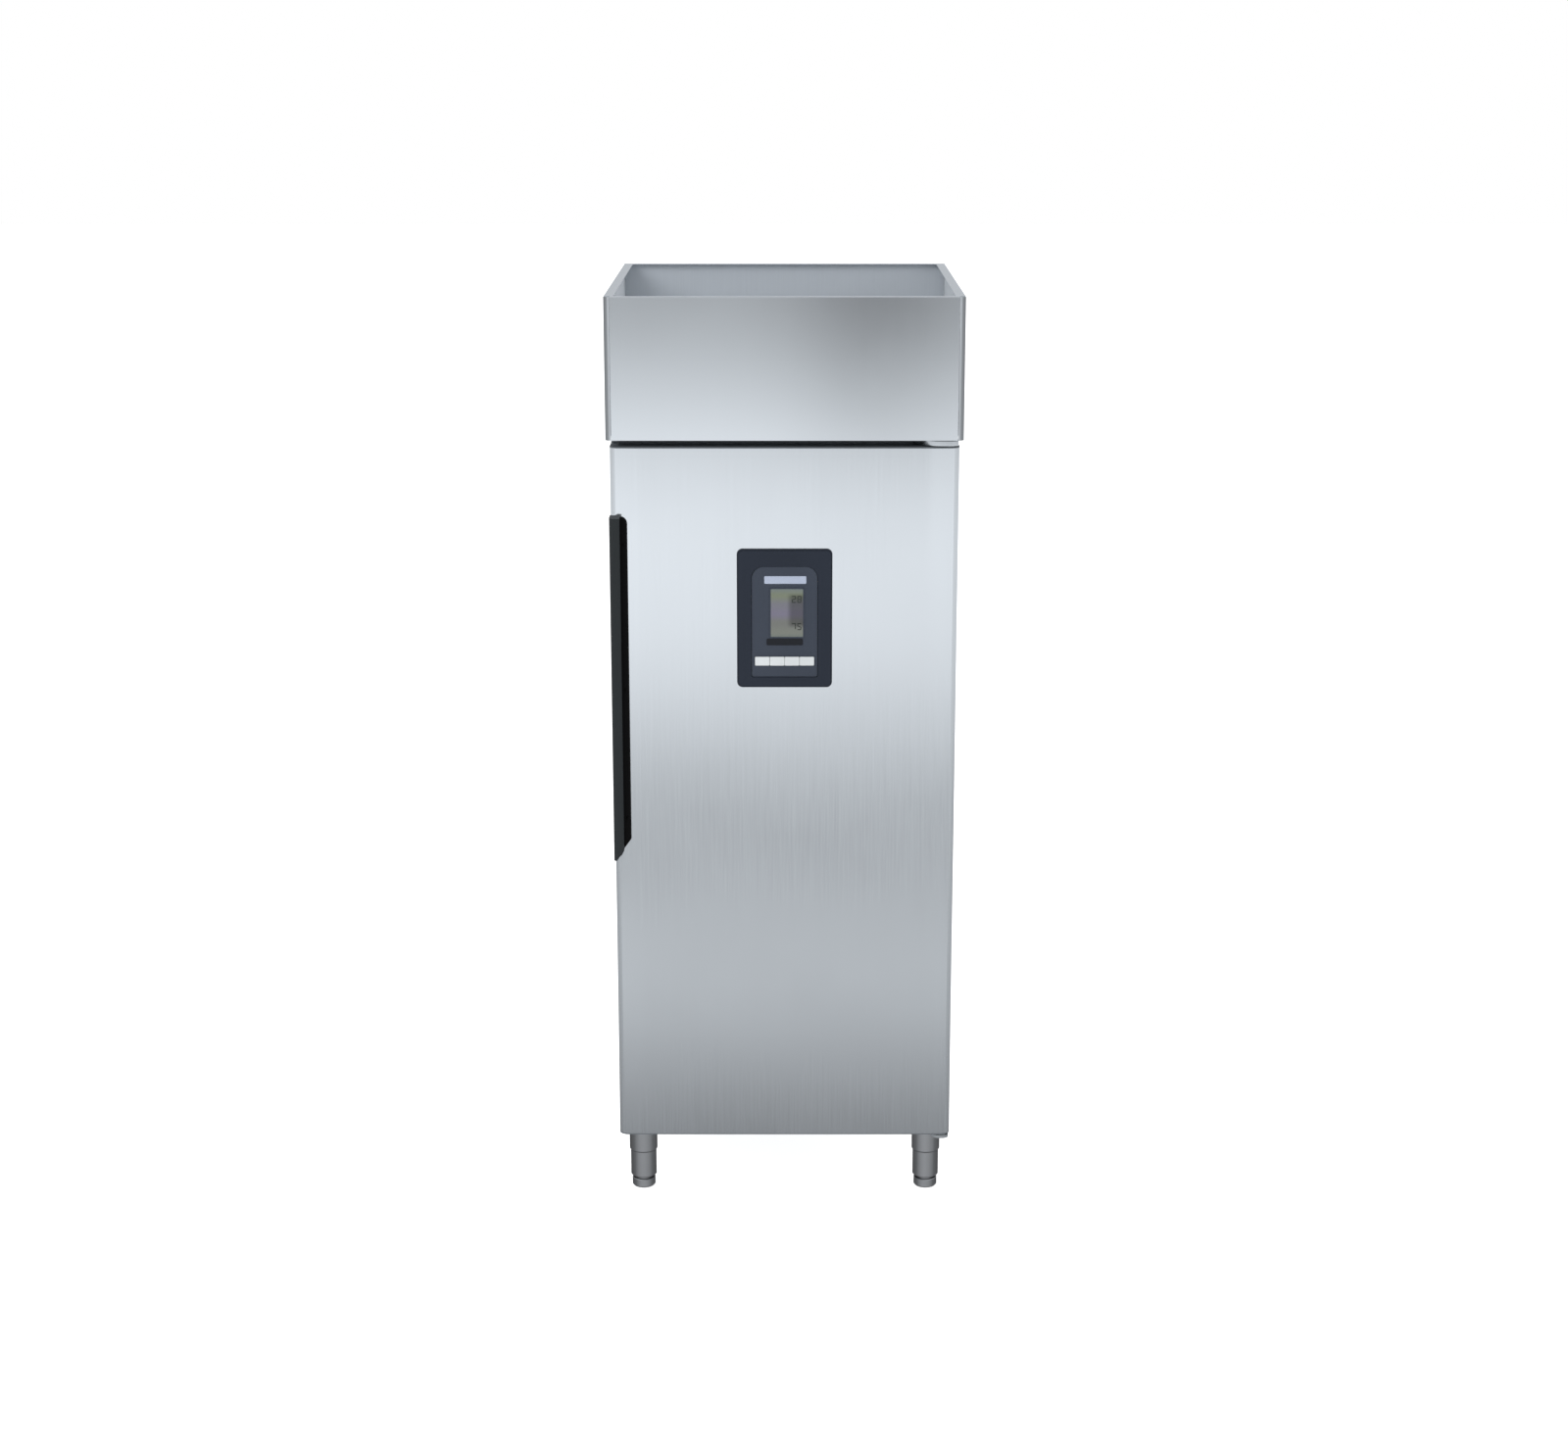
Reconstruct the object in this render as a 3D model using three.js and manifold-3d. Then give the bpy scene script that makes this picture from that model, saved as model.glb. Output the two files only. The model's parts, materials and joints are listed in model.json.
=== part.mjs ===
// Upright proofing cabinet: an insulated stainless body on four adjustable legs, one full-height door hinged
// on the right with the controller in its middle, and an open-topped collar that hides the service deck.
// Millimetres. x runs to the right as seen from the front, y from the door towards the back, z up.
// The origin is on the floor, under the middle of the footprint.

import * as THREE from "three";
import { mergeVertices } from "three/addons/utils/BufferGeometryUtils.js";
import Module from "manifold-3d";

const wasm = await Module();
wasm.setup();

// ---------------------------------------------------------------- driving dimensions
const HEIGHT = 2020; // floor to the collar's rim
const DEPTH = 810; // door face to the back panel
const COLLAR_WIDTH = 750;
const BODY_WIDTH = 734;
const LEG_HEIGHT = 164; // floor to the underside of the body
const BODY_TOP = 1730;
const COLLAR_BOTTOM = 1722;
const DOOR_BOTTOM = 168;
const DOOR_TOP = 1708;
const DOOR_THICKNESS = 60;
const DOOR_EDGE_RADIUS = 20;
const GASKET_GAP = 8; // closed door to body front
const WALL = 60; // insulated wall
const SHEET = 1; // stainless sheet
const GAP = 0.3; // air between neighbouring pieces

// ---------------------------------------------------------------- places that follow from them
const FRONT = -DEPTH / 2;
const BACK = DEPTH / 2;
const BODY_HALF = BODY_WIDTH / 2;
const COLLAR_HALF = COLLAR_WIDTH / 2;
const DOOR_REAR = FRONT + DOOR_THICKNESS;
const BODY_FRONT = DOOR_REAR + GASKET_GAP;
const CHAMBER_HALF = BODY_HALF - WALL;
const CHAMBER_BACK = BACK - WALL;
const CHAMBER_FLOOR = LEG_HEIGHT + WALL;
const CHAMBER_CEILING = BODY_TOP - WALL;
const FRAME_DEPTH = 12; // thickness of the frame round the door opening
const LINER_FRONT = BODY_FRONT + FRAME_DEPTH + 0.5;
const DECK_UPSTAND_TOP = BODY_TOP + 30;
const HINGE = { x: 345, y: -384 }; // vertical axis the door turns about
const FAN = { x: 0, y: 120 }; // vertical axis of motor and impeller
const STEAM_TANK = { x: 235, y: 230, radius: 60, height: 130 };
const STEAM_PIPE_X = STEAM_TANK.x - STEAM_TANK.radius - 30;
const DRAIN = { x: 0, y: 60, radius: 15 };
const LEG_PLACES = [
  ["front_left", -320, -295],
  ["front_right", 320, -295],
  ["rear_left", -320, 350],
  ["rear_right", 320, 350],
];

// ---------------------------------------------------------------- materials
function finish(color, roughness, metalness) {
  return new THREE.MeshStandardMaterial({ color, roughness, metalness });
}

const STAINLESS = finish(0xc3c8cd, 0.35, 1.0);
const LINER_STEEL = finish(0xccd0d3, 0.3, 1.0);
const CHROME_WIRE = finish(0xd6d8da, 0.15, 1.0);
const ZINC_STEEL = finish(0x9da2a6, 0.5, 1.0);
const FOAM = finish(0xd9c99a, 0.9, 0.0);
const BLACK_PLASTIC = finish(0x1d2023, 0.55, 0.0);
const BEZEL_PLASTIC = finish(0x2f3742, 0.45, 0.0);
const MODULE_PLASTIC = finish(0x474f59, 0.4, 0.0);
const GREY_PLASTIC = finish(0x6d7276, 0.5, 0.0);
const GASKET_RUBBER = finish(0x3a3d40, 0.8, 0.0);
const WHITE_PLASTIC = finish(0xe9ecea, 0.35, 0.0);
const LENS = finish(0x8f9788, 0.1, 0.0);
const BOARD = finish(0x1f5a3a, 0.5, 0.0);
const SHEATH = finish(0x8a7f78, 0.4, 1.0);

// ---------------------------------------------------------------- solids
// A closed three.js geometry as a manifold-3d solid.
function solid(geometry) {
  const bare = new THREE.BufferGeometry();
  bare.setAttribute("position", geometry.getAttribute("position"));
  if (geometry.index) bare.setIndex(geometry.index);
  const merged = mergeVertices(bare, 1e-4);
  return new wasm.Manifold(
    new wasm.Mesh({
      numProp: 3,
      vertProperties: merged.attributes.position.array,
      triVerts: new Uint32Array(merged.index.array),
    }),
  );
}

// A manifold-3d solid as a flat-shaded three.js geometry.
function geometryOf(manifold) {
  const mesh = manifold.getMesh();
  const geometry = new THREE.BufferGeometry();
  geometry.setAttribute("position", new THREE.BufferAttribute(new Float32Array(mesh.vertProperties), 3));
  geometry.setIndex(new THREE.BufferAttribute(new Uint32Array(mesh.triVerts), 1));
  const flat = geometry.toNonIndexed();
  flat.computeVertexNormals();
  return flat;
}

const union = (...parts) => parts.reduce((whole, part) => whole.add(part));

// A block between two corners.
function block(x0, x1, y0, y1, z0, z1) {
  const box = new THREE.BoxGeometry(x1 - x0, y1 - y0, z1 - z0);
  return solid(box.translate((x0 + x1) / 2, (y0 + y1) / 2, (z0 + z1) / 2));
}

// An upright cylinder.
function post(x, y, z0, z1, radius, sides = 32) {
  const cylinder = new THREE.CylinderGeometry(radius, radius, z1 - z0, sides);
  return solid(cylinder.rotateX(Math.PI / 2).translate(x, y, (z0 + z1) / 2));
}

// A cylinder that lies along y.
function lying(x, z, y0, y1, radius, sides = 24) {
  const cylinder = new THREE.CylinderGeometry(radius, radius, y1 - y0, sides);
  return solid(cylinder.translate(x, (y0 + y1) / 2, z));
}

// A plan outline (x, y) raised from z0 to z1.
function raised(shape, z0, z1, curveSegments = 8) {
  const settings = { depth: z1 - z0, bevelEnabled: false, curveSegments };
  return solid(new THREE.ExtrudeGeometry(shape, settings).translate(0, 0, z0));
}

// A front-view outline (x, z) carried from y0 to y1.
function carried(shape, y0, y1, curveSegments = 8) {
  const settings = { depth: y1 - y0, bevelEnabled: false, curveSegments };
  const geometry = new THREE.ExtrudeGeometry(shape, settings);
  return solid(geometry.rotateX(Math.PI / 2).translate(0, y1, 0));
}

// A turned solid about the z axis, from [radius, z] points that close on themselves or on the axis.
function turned(profile, sides = 32) {
  const points = profile.map(([radius, z]) => new THREE.Vector2(radius, z));
  return solid(new THREE.LatheGeometry(points, sides).rotateX(Math.PI / 2));
}

// A round bar or tube along a smooth curve through the given points.
function bent(points, radius, steps, { bore = 0, sides = 10, tension = 0.5 } = {}) {
  const path = new THREE.CatmullRomCurve3(
    points.map((p) => new THREE.Vector3(...p)),
    false,
    "catmullrom",
    tension,
  );
  const section = polygon(radius, sides);
  if (bore) section.holes.push(polygon(bore, sides));
  return solid(new THREE.ExtrudeGeometry(section, { steps, extrudePath: path, bevelEnabled: false }));
}

function polygon(radius, sides) {
  const corners = Array.from({ length: sides }, (_, i) => {
    const angle = (2 * Math.PI * i) / sides;
    return new THREE.Vector2(radius * Math.cos(angle), radius * Math.sin(angle));
  });
  return new THREE.Shape(corners);
}

const outline = (points) => new THREE.Shape(points.map((p) => new THREE.Vector2(...p)));

// A rectangle with rounded corners between two corners.
function roundedRectangle(x0, x1, y0, y1, radius) {
  const shape = new THREE.Shape();
  shape.moveTo(x0 + radius, y0);
  shape.lineTo(x1 - radius, y0);
  shape.absarc(x1 - radius, y0 + radius, radius, -Math.PI / 2, 0);
  shape.lineTo(x1, y1 - radius);
  shape.absarc(x1 - radius, y1 - radius, radius, 0, Math.PI / 2);
  shape.lineTo(x0 + radius, y1);
  shape.absarc(x0 + radius, y1 - radius, radius, Math.PI / 2, Math.PI);
  shape.lineTo(x0, y0 + radius);
  shape.absarc(x0 + radius, y0 + radius, radius, Math.PI, 1.5 * Math.PI);
  return shape;
}

const mirrorX = (manifold) => manifold.mirror([1, 0, 0]);

// ---------------------------------------------------------------- assembly
const cabinet = new THREE.Group();
cabinet.name = "proofing_cabinet";

// A group inside another one, with its own origin.
function groupAt(parent, x, y, z) {
  const group = new THREE.Group();
  group.position.set(x, y, z);
  parent.add(group);
  return group;
}

// One piece, modelled in its group's frame and moved from there by x, y and z.
function place(group, name, manifold, material, x = 0, y = 0, z = 0) {
  const mesh = new THREE.Mesh(geometryOf(manifold), material);
  mesh.name = name;
  mesh.position.set(x, y, z);
  group.add(mesh);
}

// ---------------------------------------------------------------- body: outer sheets
const FRONT_RETURN = 16; // width of the side panels' front flange

function sidePanel() {
  const rear = BACK - SHEET - GAP;
  const plan = outline([
    [BODY_HALF - FRONT_RETURN, BODY_FRONT],
    [BODY_HALF, BODY_FRONT],
    [BODY_HALF, rear],
    [BODY_HALF - SHEET, rear],
    [BODY_HALF - SHEET, BODY_FRONT + SHEET],
    [BODY_HALF - FRONT_RETURN, BODY_FRONT + SHEET],
  ]);
  return raised(plan, LEG_HEIGHT, DECK_UPSTAND_TOP);
}

// A rectangular pan of sheet, open upwards, inside the side panels.
function sheetPan(y0, z0, z1) {
  const half = BODY_HALF - SHEET - GAP;
  const y1 = BACK - SHEET - GAP;
  const outer = block(-half, half, y0, y1, z0, z1);
  const hollow = block(-half + SHEET, half - SHEET, y0 + SHEET, y1 - SHEET, z0 + SHEET, z1 + 1);
  return outer.subtract(hollow);
}

function basePan() {
  const rim = 16;
  const pan = sheetPan(BODY_FRONT + SHEET + GAP, LEG_HEIGHT, LEG_HEIGHT + rim);
  return pan.subtract(drainHole(LEG_HEIGHT - 1, LEG_HEIGHT + 5));
}

const drainHole = (z0, z1) => post(DRAIN.x, DRAIN.y, z0, z1, DRAIN.radius, 24);

// Holes for the fan shaft and the steam pipe, through everything between z0 and z1.
function serviceHoles(z0, z1) {
  return union(post(FAN.x, FAN.y, z0, z1, 12, 24), post(STEAM_PIPE_X, STEAM_TANK.y, z0, z1, 9, 24));
}

function roofPanel() {
  const pan = sheetPan(BODY_FRONT + SHEET + GAP, BODY_TOP - SHEET, DECK_UPSTAND_TOP);
  return pan.subtract(serviceHoles(BODY_TOP - 5, BODY_TOP + 5));
}

function backPanel() {
  return block(-BODY_HALF, BODY_HALF, BACK - SHEET, BACK, LEG_HEIGHT, COLLAR_BOTTOM - GAP);
}

// ---------------------------------------------------------------- body: liner, foam, front frame
// The chamber's plan, square at the door and rounded at the back, grown outwards by `grow`.
function chamberBlock(grow, y0, z0, z1) {
  const radius = 18 + grow;
  const half = CHAMBER_HALF + grow;
  const back = CHAMBER_BACK + grow;
  const plan = new THREE.Shape();
  plan.moveTo(-half, y0);
  plan.lineTo(half, y0);
  plan.lineTo(half, back - radius);
  plan.absarc(half - radius, back - radius, radius, 0, Math.PI / 2);
  plan.lineTo(-half + radius, back);
  plan.absarc(-half + radius, back - radius, radius, Math.PI / 2, Math.PI);
  return raised(plan, z0, z1, 6);
}

function chamberLiner() {
  const shell = chamberBlock(SHEET, LINER_FRONT, CHAMBER_FLOOR - SHEET, CHAMBER_CEILING + SHEET);
  const space = chamberBlock(0, LINER_FRONT - 1, CHAMBER_FLOOR, CHAMBER_CEILING);
  const ceilingHoles = serviceHoles(CHAMBER_CEILING - 5, CHAMBER_CEILING + 5);
  const floorHole = drainHole(CHAMBER_FLOOR - 5, CHAMBER_FLOOR + 5);
  return shell.subtract(space).subtract(floorHole).subtract(ceilingHoles);
}

function cabinetInsulation() {
  const inset = 2 * SHEET + 2 * GAP;
  const half = BODY_HALF - inset;
  const front = LINER_FRONT - GAP;
  const mass = block(-half, half, front, BACK - inset, LEG_HEIGHT + SHEET + GAP, BODY_TOP - SHEET - GAP);
  const grow = SHEET + GAP;
  const space = chamberBlock(grow, front - 1, CHAMBER_FLOOR - grow, CHAMBER_CEILING + grow);
  const holes = union(drainHole(LEG_HEIGHT, CHAMBER_FLOOR), serviceHoles(CHAMBER_CEILING, BODY_TOP));
  return mass.subtract(space).subtract(holes);
}

// The moulded frame that the door seal closes on.
function frontFrame() {
  const half = BODY_HALF - FRONT_RETURN - 0.5;
  const rear = BODY_FRONT + FRAME_DEPTH;
  const whole = block(-half, half, BODY_FRONT, rear, LEG_HEIGHT + 17, BODY_TOP - SHEET - 0.5);
  const opening = block(
    -CHAMBER_HALF,
    CHAMBER_HALF,
    BODY_FRONT - 1,
    rear + 1,
    CHAMBER_FLOOR,
    CHAMBER_CEILING,
  );
  return whole.subtract(opening);
}

// ---------------------------------------------------------------- collar round the service deck
const COLLAR_EDGE_RADIUS = 12;
const HEM = 20; // width of the folded rim
const FASCIA_HALF = COLLAR_HALF - COLLAR_EDGE_RADIUS - 0.8;

function collarSide() {
  const corner = { x: COLLAR_HALF - COLLAR_EDGE_RADIUS, y: FRONT + COLLAR_EDGE_RADIUS };
  const rear = BACK - SHEET - 0.5;
  const plan = new THREE.Shape();
  plan.moveTo(corner.x, FRONT + SHEET);
  plan.lineTo(corner.x, FRONT);
  plan.absarc(corner.x, corner.y, COLLAR_EDGE_RADIUS, -Math.PI / 2, 0);
  plan.lineTo(COLLAR_HALF, rear);
  plan.lineTo(COLLAR_HALF - SHEET, rear);
  plan.lineTo(COLLAR_HALF - SHEET, corner.y);
  plan.absarc(corner.x, corner.y, COLLAR_EDGE_RADIUS - SHEET, 0, -Math.PI / 2, true);
  const wall = raised(plan, COLLAR_BOTTOM, HEIGHT, 6);
  const inside = COLLAR_HALF - 0.5;
  const rim = block(COLLAR_HALF - HEM, inside, FRONT + HEM + GAP, rear - HEM, HEIGHT - SHEET, HEIGHT);
  const ledgeInner = BODY_HALF + GAP;
  const ledge = block(ledgeInner, inside, corner.y, rear - HEM, COLLAR_BOTTOM, COLLAR_BOTTOM + SHEET);
  return union(wall, rim, ledge);
}

function fasciaPanel() {
  const floorFlange = 55;
  const outer = block(-FASCIA_HALF, FASCIA_HALF, FRONT, FRONT + HEM, COLLAR_BOTTOM, HEIGHT);
  const hollow = block(
    -FASCIA_HALF + SHEET,
    FASCIA_HALF - SHEET,
    FRONT + SHEET,
    FRONT + HEM + 1,
    COLLAR_BOTTOM + SHEET,
    HEIGHT - SHEET,
  );
  const inset = FASCIA_HALF - 4;
  const floor = block(-inset, inset, FRONT + 4, FRONT + floorFlange, COLLAR_BOTTOM, COLLAR_BOTTOM + SHEET);
  return outer.subtract(hollow).add(floor);
}

const CABLE_HOLE = { x: -250, z: 1795 };
const VALVE = { x: 270, z: 1795 };

function collarBack() {
  const half = COLLAR_HALF - SHEET - 0.4;
  const outer = block(-half, half, BACK - HEM, BACK, COLLAR_BOTTOM, HEIGHT);
  const hollow = block(
    -half + SHEET,
    half - SHEET,
    BACK - HEM - 1,
    BACK - SHEET,
    COLLAR_BOTTOM - 1,
    HEIGHT - SHEET,
  );
  const cableHole = lying(CABLE_HOLE.x, CABLE_HOLE.z, BACK - 5, BACK + 5, 9);
  const valveHole = lying(VALVE.x, VALVE.z, BACK - 5, BACK + 5, 13);
  return outer.subtract(hollow).subtract(cableHole).subtract(valveHole);
}

// ---------------------------------------------------------------- service deck
const DECK = BODY_TOP + GAP;
const BOX = { x0: -335, x1: -95, y0: 70, y1: 350, top: 1850 };

function controlBox() {
  const wall = 1.5;
  const outer = block(BOX.x0, BOX.x1, BOX.y0, BOX.y1, DECK, BOX.top);
  const hollow = block(
    BOX.x0 + wall,
    BOX.x1 - wall,
    BOX.y0 + wall,
    BOX.y1 - wall,
    DECK + wall,
    BOX.top + 1,
  );
  const glandHole = lying(CABLE_HOLE.x, CABLE_HOLE.z, BOX.y1 - 5, BOX.y1 + 5, 7);
  return outer.subtract(hollow).subtract(glandHole);
}

function controlBoxLid() {
  const overhang = 2;
  const thickness = 1.5;
  const skirt = 12;
  const z0 = BOX.top + GAP - skirt;
  const z1 = BOX.top + GAP + thickness;
  const outer = block(BOX.x0 - overhang, BOX.x1 + overhang, BOX.y0 - overhang, BOX.y1 + overhang, z0, z1);
  const hollow = block(
    BOX.x0 - 0.5,
    BOX.x1 + 0.5,
    BOX.y0 - 0.5,
    BOX.y1 + 0.5,
    z0 - 1,
    BOX.top + GAP,
  );
  return outer.subtract(hollow);
}

// Mains cable with its gland nut, run out through the collar's back and down to a moulded plug.
function mainsCable() {
  const radius = 4.5;
  const plugTop = 940;
  const drop = BACK + 14;
  const cable = bent(
    [
      [CABLE_HOLE.x, BOX.y1 - 20, CABLE_HOLE.z],
      [CABLE_HOLE.x, BOX.y1 + 30, CABLE_HOLE.z],
      [CABLE_HOLE.x, BACK + 2, CABLE_HOLE.z],
      [CABLE_HOLE.x, drop, CABLE_HOLE.z - 25],
      [CABLE_HOLE.x, drop, 1500],
      [CABLE_HOLE.x, drop, 1200],
      [CABLE_HOLE.x, drop, plugTop - 10],
    ],
    radius,
    30,
    { sides: 8 },
  );
  const glandNut = lying(CABLE_HOLE.x, CABLE_HOLE.z, BOX.y1 + GAP, BOX.y1 + 14, 11, 6);
  const plugBody = raised(
    roundedRectangle(CABLE_HOLE.x - 21, CABLE_HOLE.x + 21, BACK + 1, BACK + 30, 9),
    plugTop - 48,
    plugTop,
    4,
  );
  const pinLeft = post(CABLE_HOLE.x - 9.5, BACK + 15.5, plugTop - 67, plugTop - 47, 2.4, 10);
  const pinRight = post(CABLE_HOLE.x + 9.5, BACK + 15.5, plugTop - 67, plugTop - 47, 2.4, 10);
  return union(cable, glandNut, plugBody, pinLeft, pinRight);
}

const SHAFT = { radius: 5, bore: 5.08 };

function fanMotor() {
  const flange = 60;
  const housing = 46;
  const boreTop = DECK + 42;
  const top = DECK + 78;
  const profile = [
    [0, boreTop],
    [SHAFT.bore, boreTop],
    [SHAFT.bore, DECK],
    [flange, DECK],
    [flange, DECK + 4],
    [housing, DECK + 6],
    [housing, top - 16],
    [housing - 6, top - 6],
    [housing / 2, top],
    [0, top],
  ];
  return turned(profile);
}

function steamGenerator() {
  const { radius, height } = STEAM_TANK;
  const top = DECK + height;
  const terminal = { radius: 22, height: 14 };
  const profile = [
    [0, DECK],
    [radius, DECK],
    [radius, top - 12],
    [radius - 12, top - 3],
    [terminal.radius, top],
    [terminal.radius, top + terminal.height],
    [0, top + terminal.height],
  ];
  return turned(profile);
}

const STEAM_PIPE_Z = BODY_TOP + 75;

// Steam pipe from the tank's side, down through the roof into the fan space.
function steamPipe() {
  const end = CHAMBER_CEILING - 22;
  const start = STEAM_TANK.x - STEAM_TANK.radius - GAP;
  const points = [
    [start, STEAM_TANK.y, STEAM_PIPE_Z],
    [STEAM_PIPE_X + 20, STEAM_TANK.y, STEAM_PIPE_Z],
    [STEAM_PIPE_X + 4, STEAM_TANK.y, STEAM_PIPE_Z - 8],
    [STEAM_PIPE_X, STEAM_TANK.y, STEAM_PIPE_Z - 26],
    [STEAM_PIPE_X, STEAM_TANK.y, BODY_TOP - 20],
    [STEAM_PIPE_X, STEAM_TANK.y, end],
  ];
  return bent(points, 7.5, 18, { bore: 5.5, sides: 8 });
}

// Solenoid valve for the water, its threaded inlet standing out through the collar's back.
function waterValve() {
  const { x, z } = VALVE;
  const inlet = lying(x, z, BACK - 30, BACK + 22, 10);
  const nut = lying(x, z, BACK - SHEET - GAP - 8, BACK - SHEET - GAP, 17, 6);
  const lockRing = lying(x, z, BACK + GAP, BACK + 5, 17);
  const body = block(x - 16, x + 16, BACK - 62, BACK - 29, z - 16, z + 16);
  const coil = post(x, BACK - 46, z + 15, z + 52, 15, 20);
  const outlet = post(x, BACK - 46, z - 26, z - 15, 8, 16);
  return union(inlet, nut, lockRing, body, coil, outlet);
}

function waterHose() {
  const x = VALVE.x;
  const startZ = VALVE.z - 26 - GAP;
  const endY = STEAM_TANK.y + STEAM_TANK.radius + 1;
  const points = [
    [x, BACK - 46, startZ],
    [x, BACK - 46, startZ - 16],
    [x - 3, BACK - 58, startZ - 24],
    [x - 16, endY + 22, startZ - 24],
    [STEAM_TANK.x, endY + 8, startZ - 24],
    [STEAM_TANK.x, endY, startZ - 24],
  ];
  return bent(points, 5, 22, { sides: 8 });
}

// ---------------------------------------------------------------- chamber fittings
const PLENUM_FLOOR = CHAMBER_CEILING - 82;
const PLENUM_HALF = 300;
const PLENUM_FRONT = -160;

function ceilingPlenum() {
  const y1 = CHAMBER_BACK - 7;
  const top = CHAMBER_CEILING - 0.5;
  const outer = block(-PLENUM_HALF, PLENUM_HALF, PLENUM_FRONT, y1, PLENUM_FLOOR, top);
  const hollow = block(
    -PLENUM_HALF + SHEET,
    PLENUM_HALF - SHEET,
    PLENUM_FRONT + SHEET,
    y1 - SHEET,
    PLENUM_FLOOR + SHEET,
    top + 1,
  );
  let plenum = outer.subtract(hollow).subtract(post(FAN.x, FAN.y, PLENUM_FLOOR - 5, PLENUM_FLOOR + 5, 98));
  const slotRows = [PLENUM_FLOOR + 26, PLENUM_FLOOR + 50];
  const slotLength = 58;
  const slotPitch = 92;
  for (let i = 0; i < 5; i++) {
    const y0 = PLENUM_FRONT + 35 + i * slotPitch;
    for (const z0 of slotRows) {
      plenum = plenum.subtract(block(-PLENUM_HALF - 5, PLENUM_HALF + 5, y0, y0 + slotLength, z0, z0 + 9));
    }
  }
  return plenum;
}

// Laser-cut intake grille under the fan: rings held by a cross of bars.
function fanGuard() {
  const thickness = 2;
  const rim = 106;
  const slotWidth = 19;
  let guard = post(0, 0, 0, thickness, rim, 36);
  for (const inner of [20, 44, 68]) {
    const core = post(0, 0, -2, thickness + 2, inner, 28);
    guard = guard.subtract(post(0, 0, -1, thickness + 1, inner + slotWidth, 28).subtract(core));
  }
  const bar = 4;
  const reach = rim - 6;
  const cross = union(
    block(-reach, reach, -bar, bar, 0, thickness),
    block(-bar, bar, -reach, reach, 0, thickness),
  );
  return guard.add(cross);
}

// Sheathed heating rod bent in a ring round the fan, both ends turned up to the ceiling.
function heatingElement() {
  const ring = 140;
  const z = PLENUM_FLOOR + 34;
  const ends = 0.14; // half the gap between the two ends, in radians
  const top = CHAMBER_CEILING - 0.5;
  const at = (angle, height) => [ring * Math.cos(angle), ring * Math.sin(angle), height];
  const points = [at(ends, top), at(ends, top - 22)];
  const first = ends + 0.06;
  const sweep = 2 * (Math.PI - first);
  const turns = 16;
  for (let i = 0; i <= turns; i++) points.push(at(first + (sweep * i) / turns, z));
  points.push(at(-ends, top - 22), at(-ends, top));
  return bent(points, 4.2, 56, { sides: 6 });
}

function fanImpeller() {
  const bottom = PLENUM_FLOOR + 14;
  const discZ = bottom + 40;
  const outer = 93;
  const intake = 66;
  const shaft = post(0, 0, bottom, DECK + 36, SHAFT.radius);
  const hub = post(0, 0, bottom, discZ, 18, 24);
  const disc = post(0, 0, discZ - 2, discZ, outer, 36);
  const opening = post(0, 0, bottom - 1, bottom + 3, intake, 36);
  const shroud = post(0, 0, bottom, bottom + 2, outer, 36).subtract(opening);
  let wheel = union(shaft, hub, disc, shroud);
  const blades = 9;
  for (let i = 0; i < blades; i++) {
    const blade = new THREE.BoxGeometry(44, 2, discZ - bottom - 1);
    blade.rotateZ(0.6); // swept back from the radius
    blade.translate(70, 0, (bottom + discZ) / 2);
    blade.rotateZ((2 * Math.PI * i) / blades);
    wheel = wheel.add(solid(blade));
  }
  return wheel;
}

function humidityProbe() {
  const x = -215;
  const z = 1515;
  const wallEnd = CHAMBER_BACK - GAP;
  return union(
    lying(x, z, wallEnd - 6, wallEnd, 16),
    lying(x, z, wallEnd - 60, wallEnd - 5, 6, 16),
    lying(x, z, wallEnd - 92, wallEnd - 60 + 0.5, 8.5, 16),
  );
}

// ---------------------------------------------------------------- racks and shelves
const LEVELS = 10;
const LEVEL_PITCH = 125;
const FIRST_LEVEL = 310; // underside of the lowest runner
const RUNNER = { inner: 246, outer: 271, front: -300, rear: 335, thickness: 1.5, web: 16 };
const SHELF_HALF = 264.5;

// One welded side rack: two square uprights with ten angle runners, each with its web turned down.
function sideRack() {
  const { inner, outer, front, rear, thickness, web } = RUNNER;
  const uprightWidth = 28;
  const z0 = CHAMBER_FLOOR + GAP;
  const z1 = FIRST_LEVEL + LEVEL_PITCH * (LEVELS - 1) + 60;
  const uprights = [-240, 220].map((y) =>
    block(outer - 0.5, CHAMBER_HALF - GAP, y, y + uprightWidth, z0, z1),
  );
  let rack = union(...uprights);
  for (let level = 0; level < LEVELS; level++) {
    const top = FIRST_LEVEL + level * LEVEL_PITCH + thickness;
    const tread = block(inner, outer, front, rear, top - thickness, top);
    rack = union(rack, tread, block(outer - thickness, outer, front, rear, top - web, top));
  }
  return rack;
}

// Wire shelf, its underside at z = 0.
function wireShelf() {
  const bar = 7;
  const wire = 4;
  const y0 = RUNNER.front - 5;
  const y1 = RUNNER.rear;
  const inside = block(-SHELF_HALF + bar, SHELF_HALF - bar, y0 + bar, y1 - bar, -1, bar + 1);
  let shelf = block(-SHELF_HALF, SHELF_HALF, y0, y1, 0, bar).subtract(inside);
  for (const x of [-90, 90]) {
    shelf = shelf.add(block(x - bar / 2, x + bar / 2, y0 + bar / 2, y1 - bar / 2, 1, bar - 1));
  }
  const wires = 11;
  const reach = SHELF_HALF - bar / 2;
  for (let i = 1; i <= wires; i++) {
    const y = y0 + ((y1 - y0) * i) / (wires + 1);
    shelf = shelf.add(block(-reach, reach, y - wire / 2, y + wire / 2, bar - 2, bar + 2));
  }
  return shelf;
}

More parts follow.
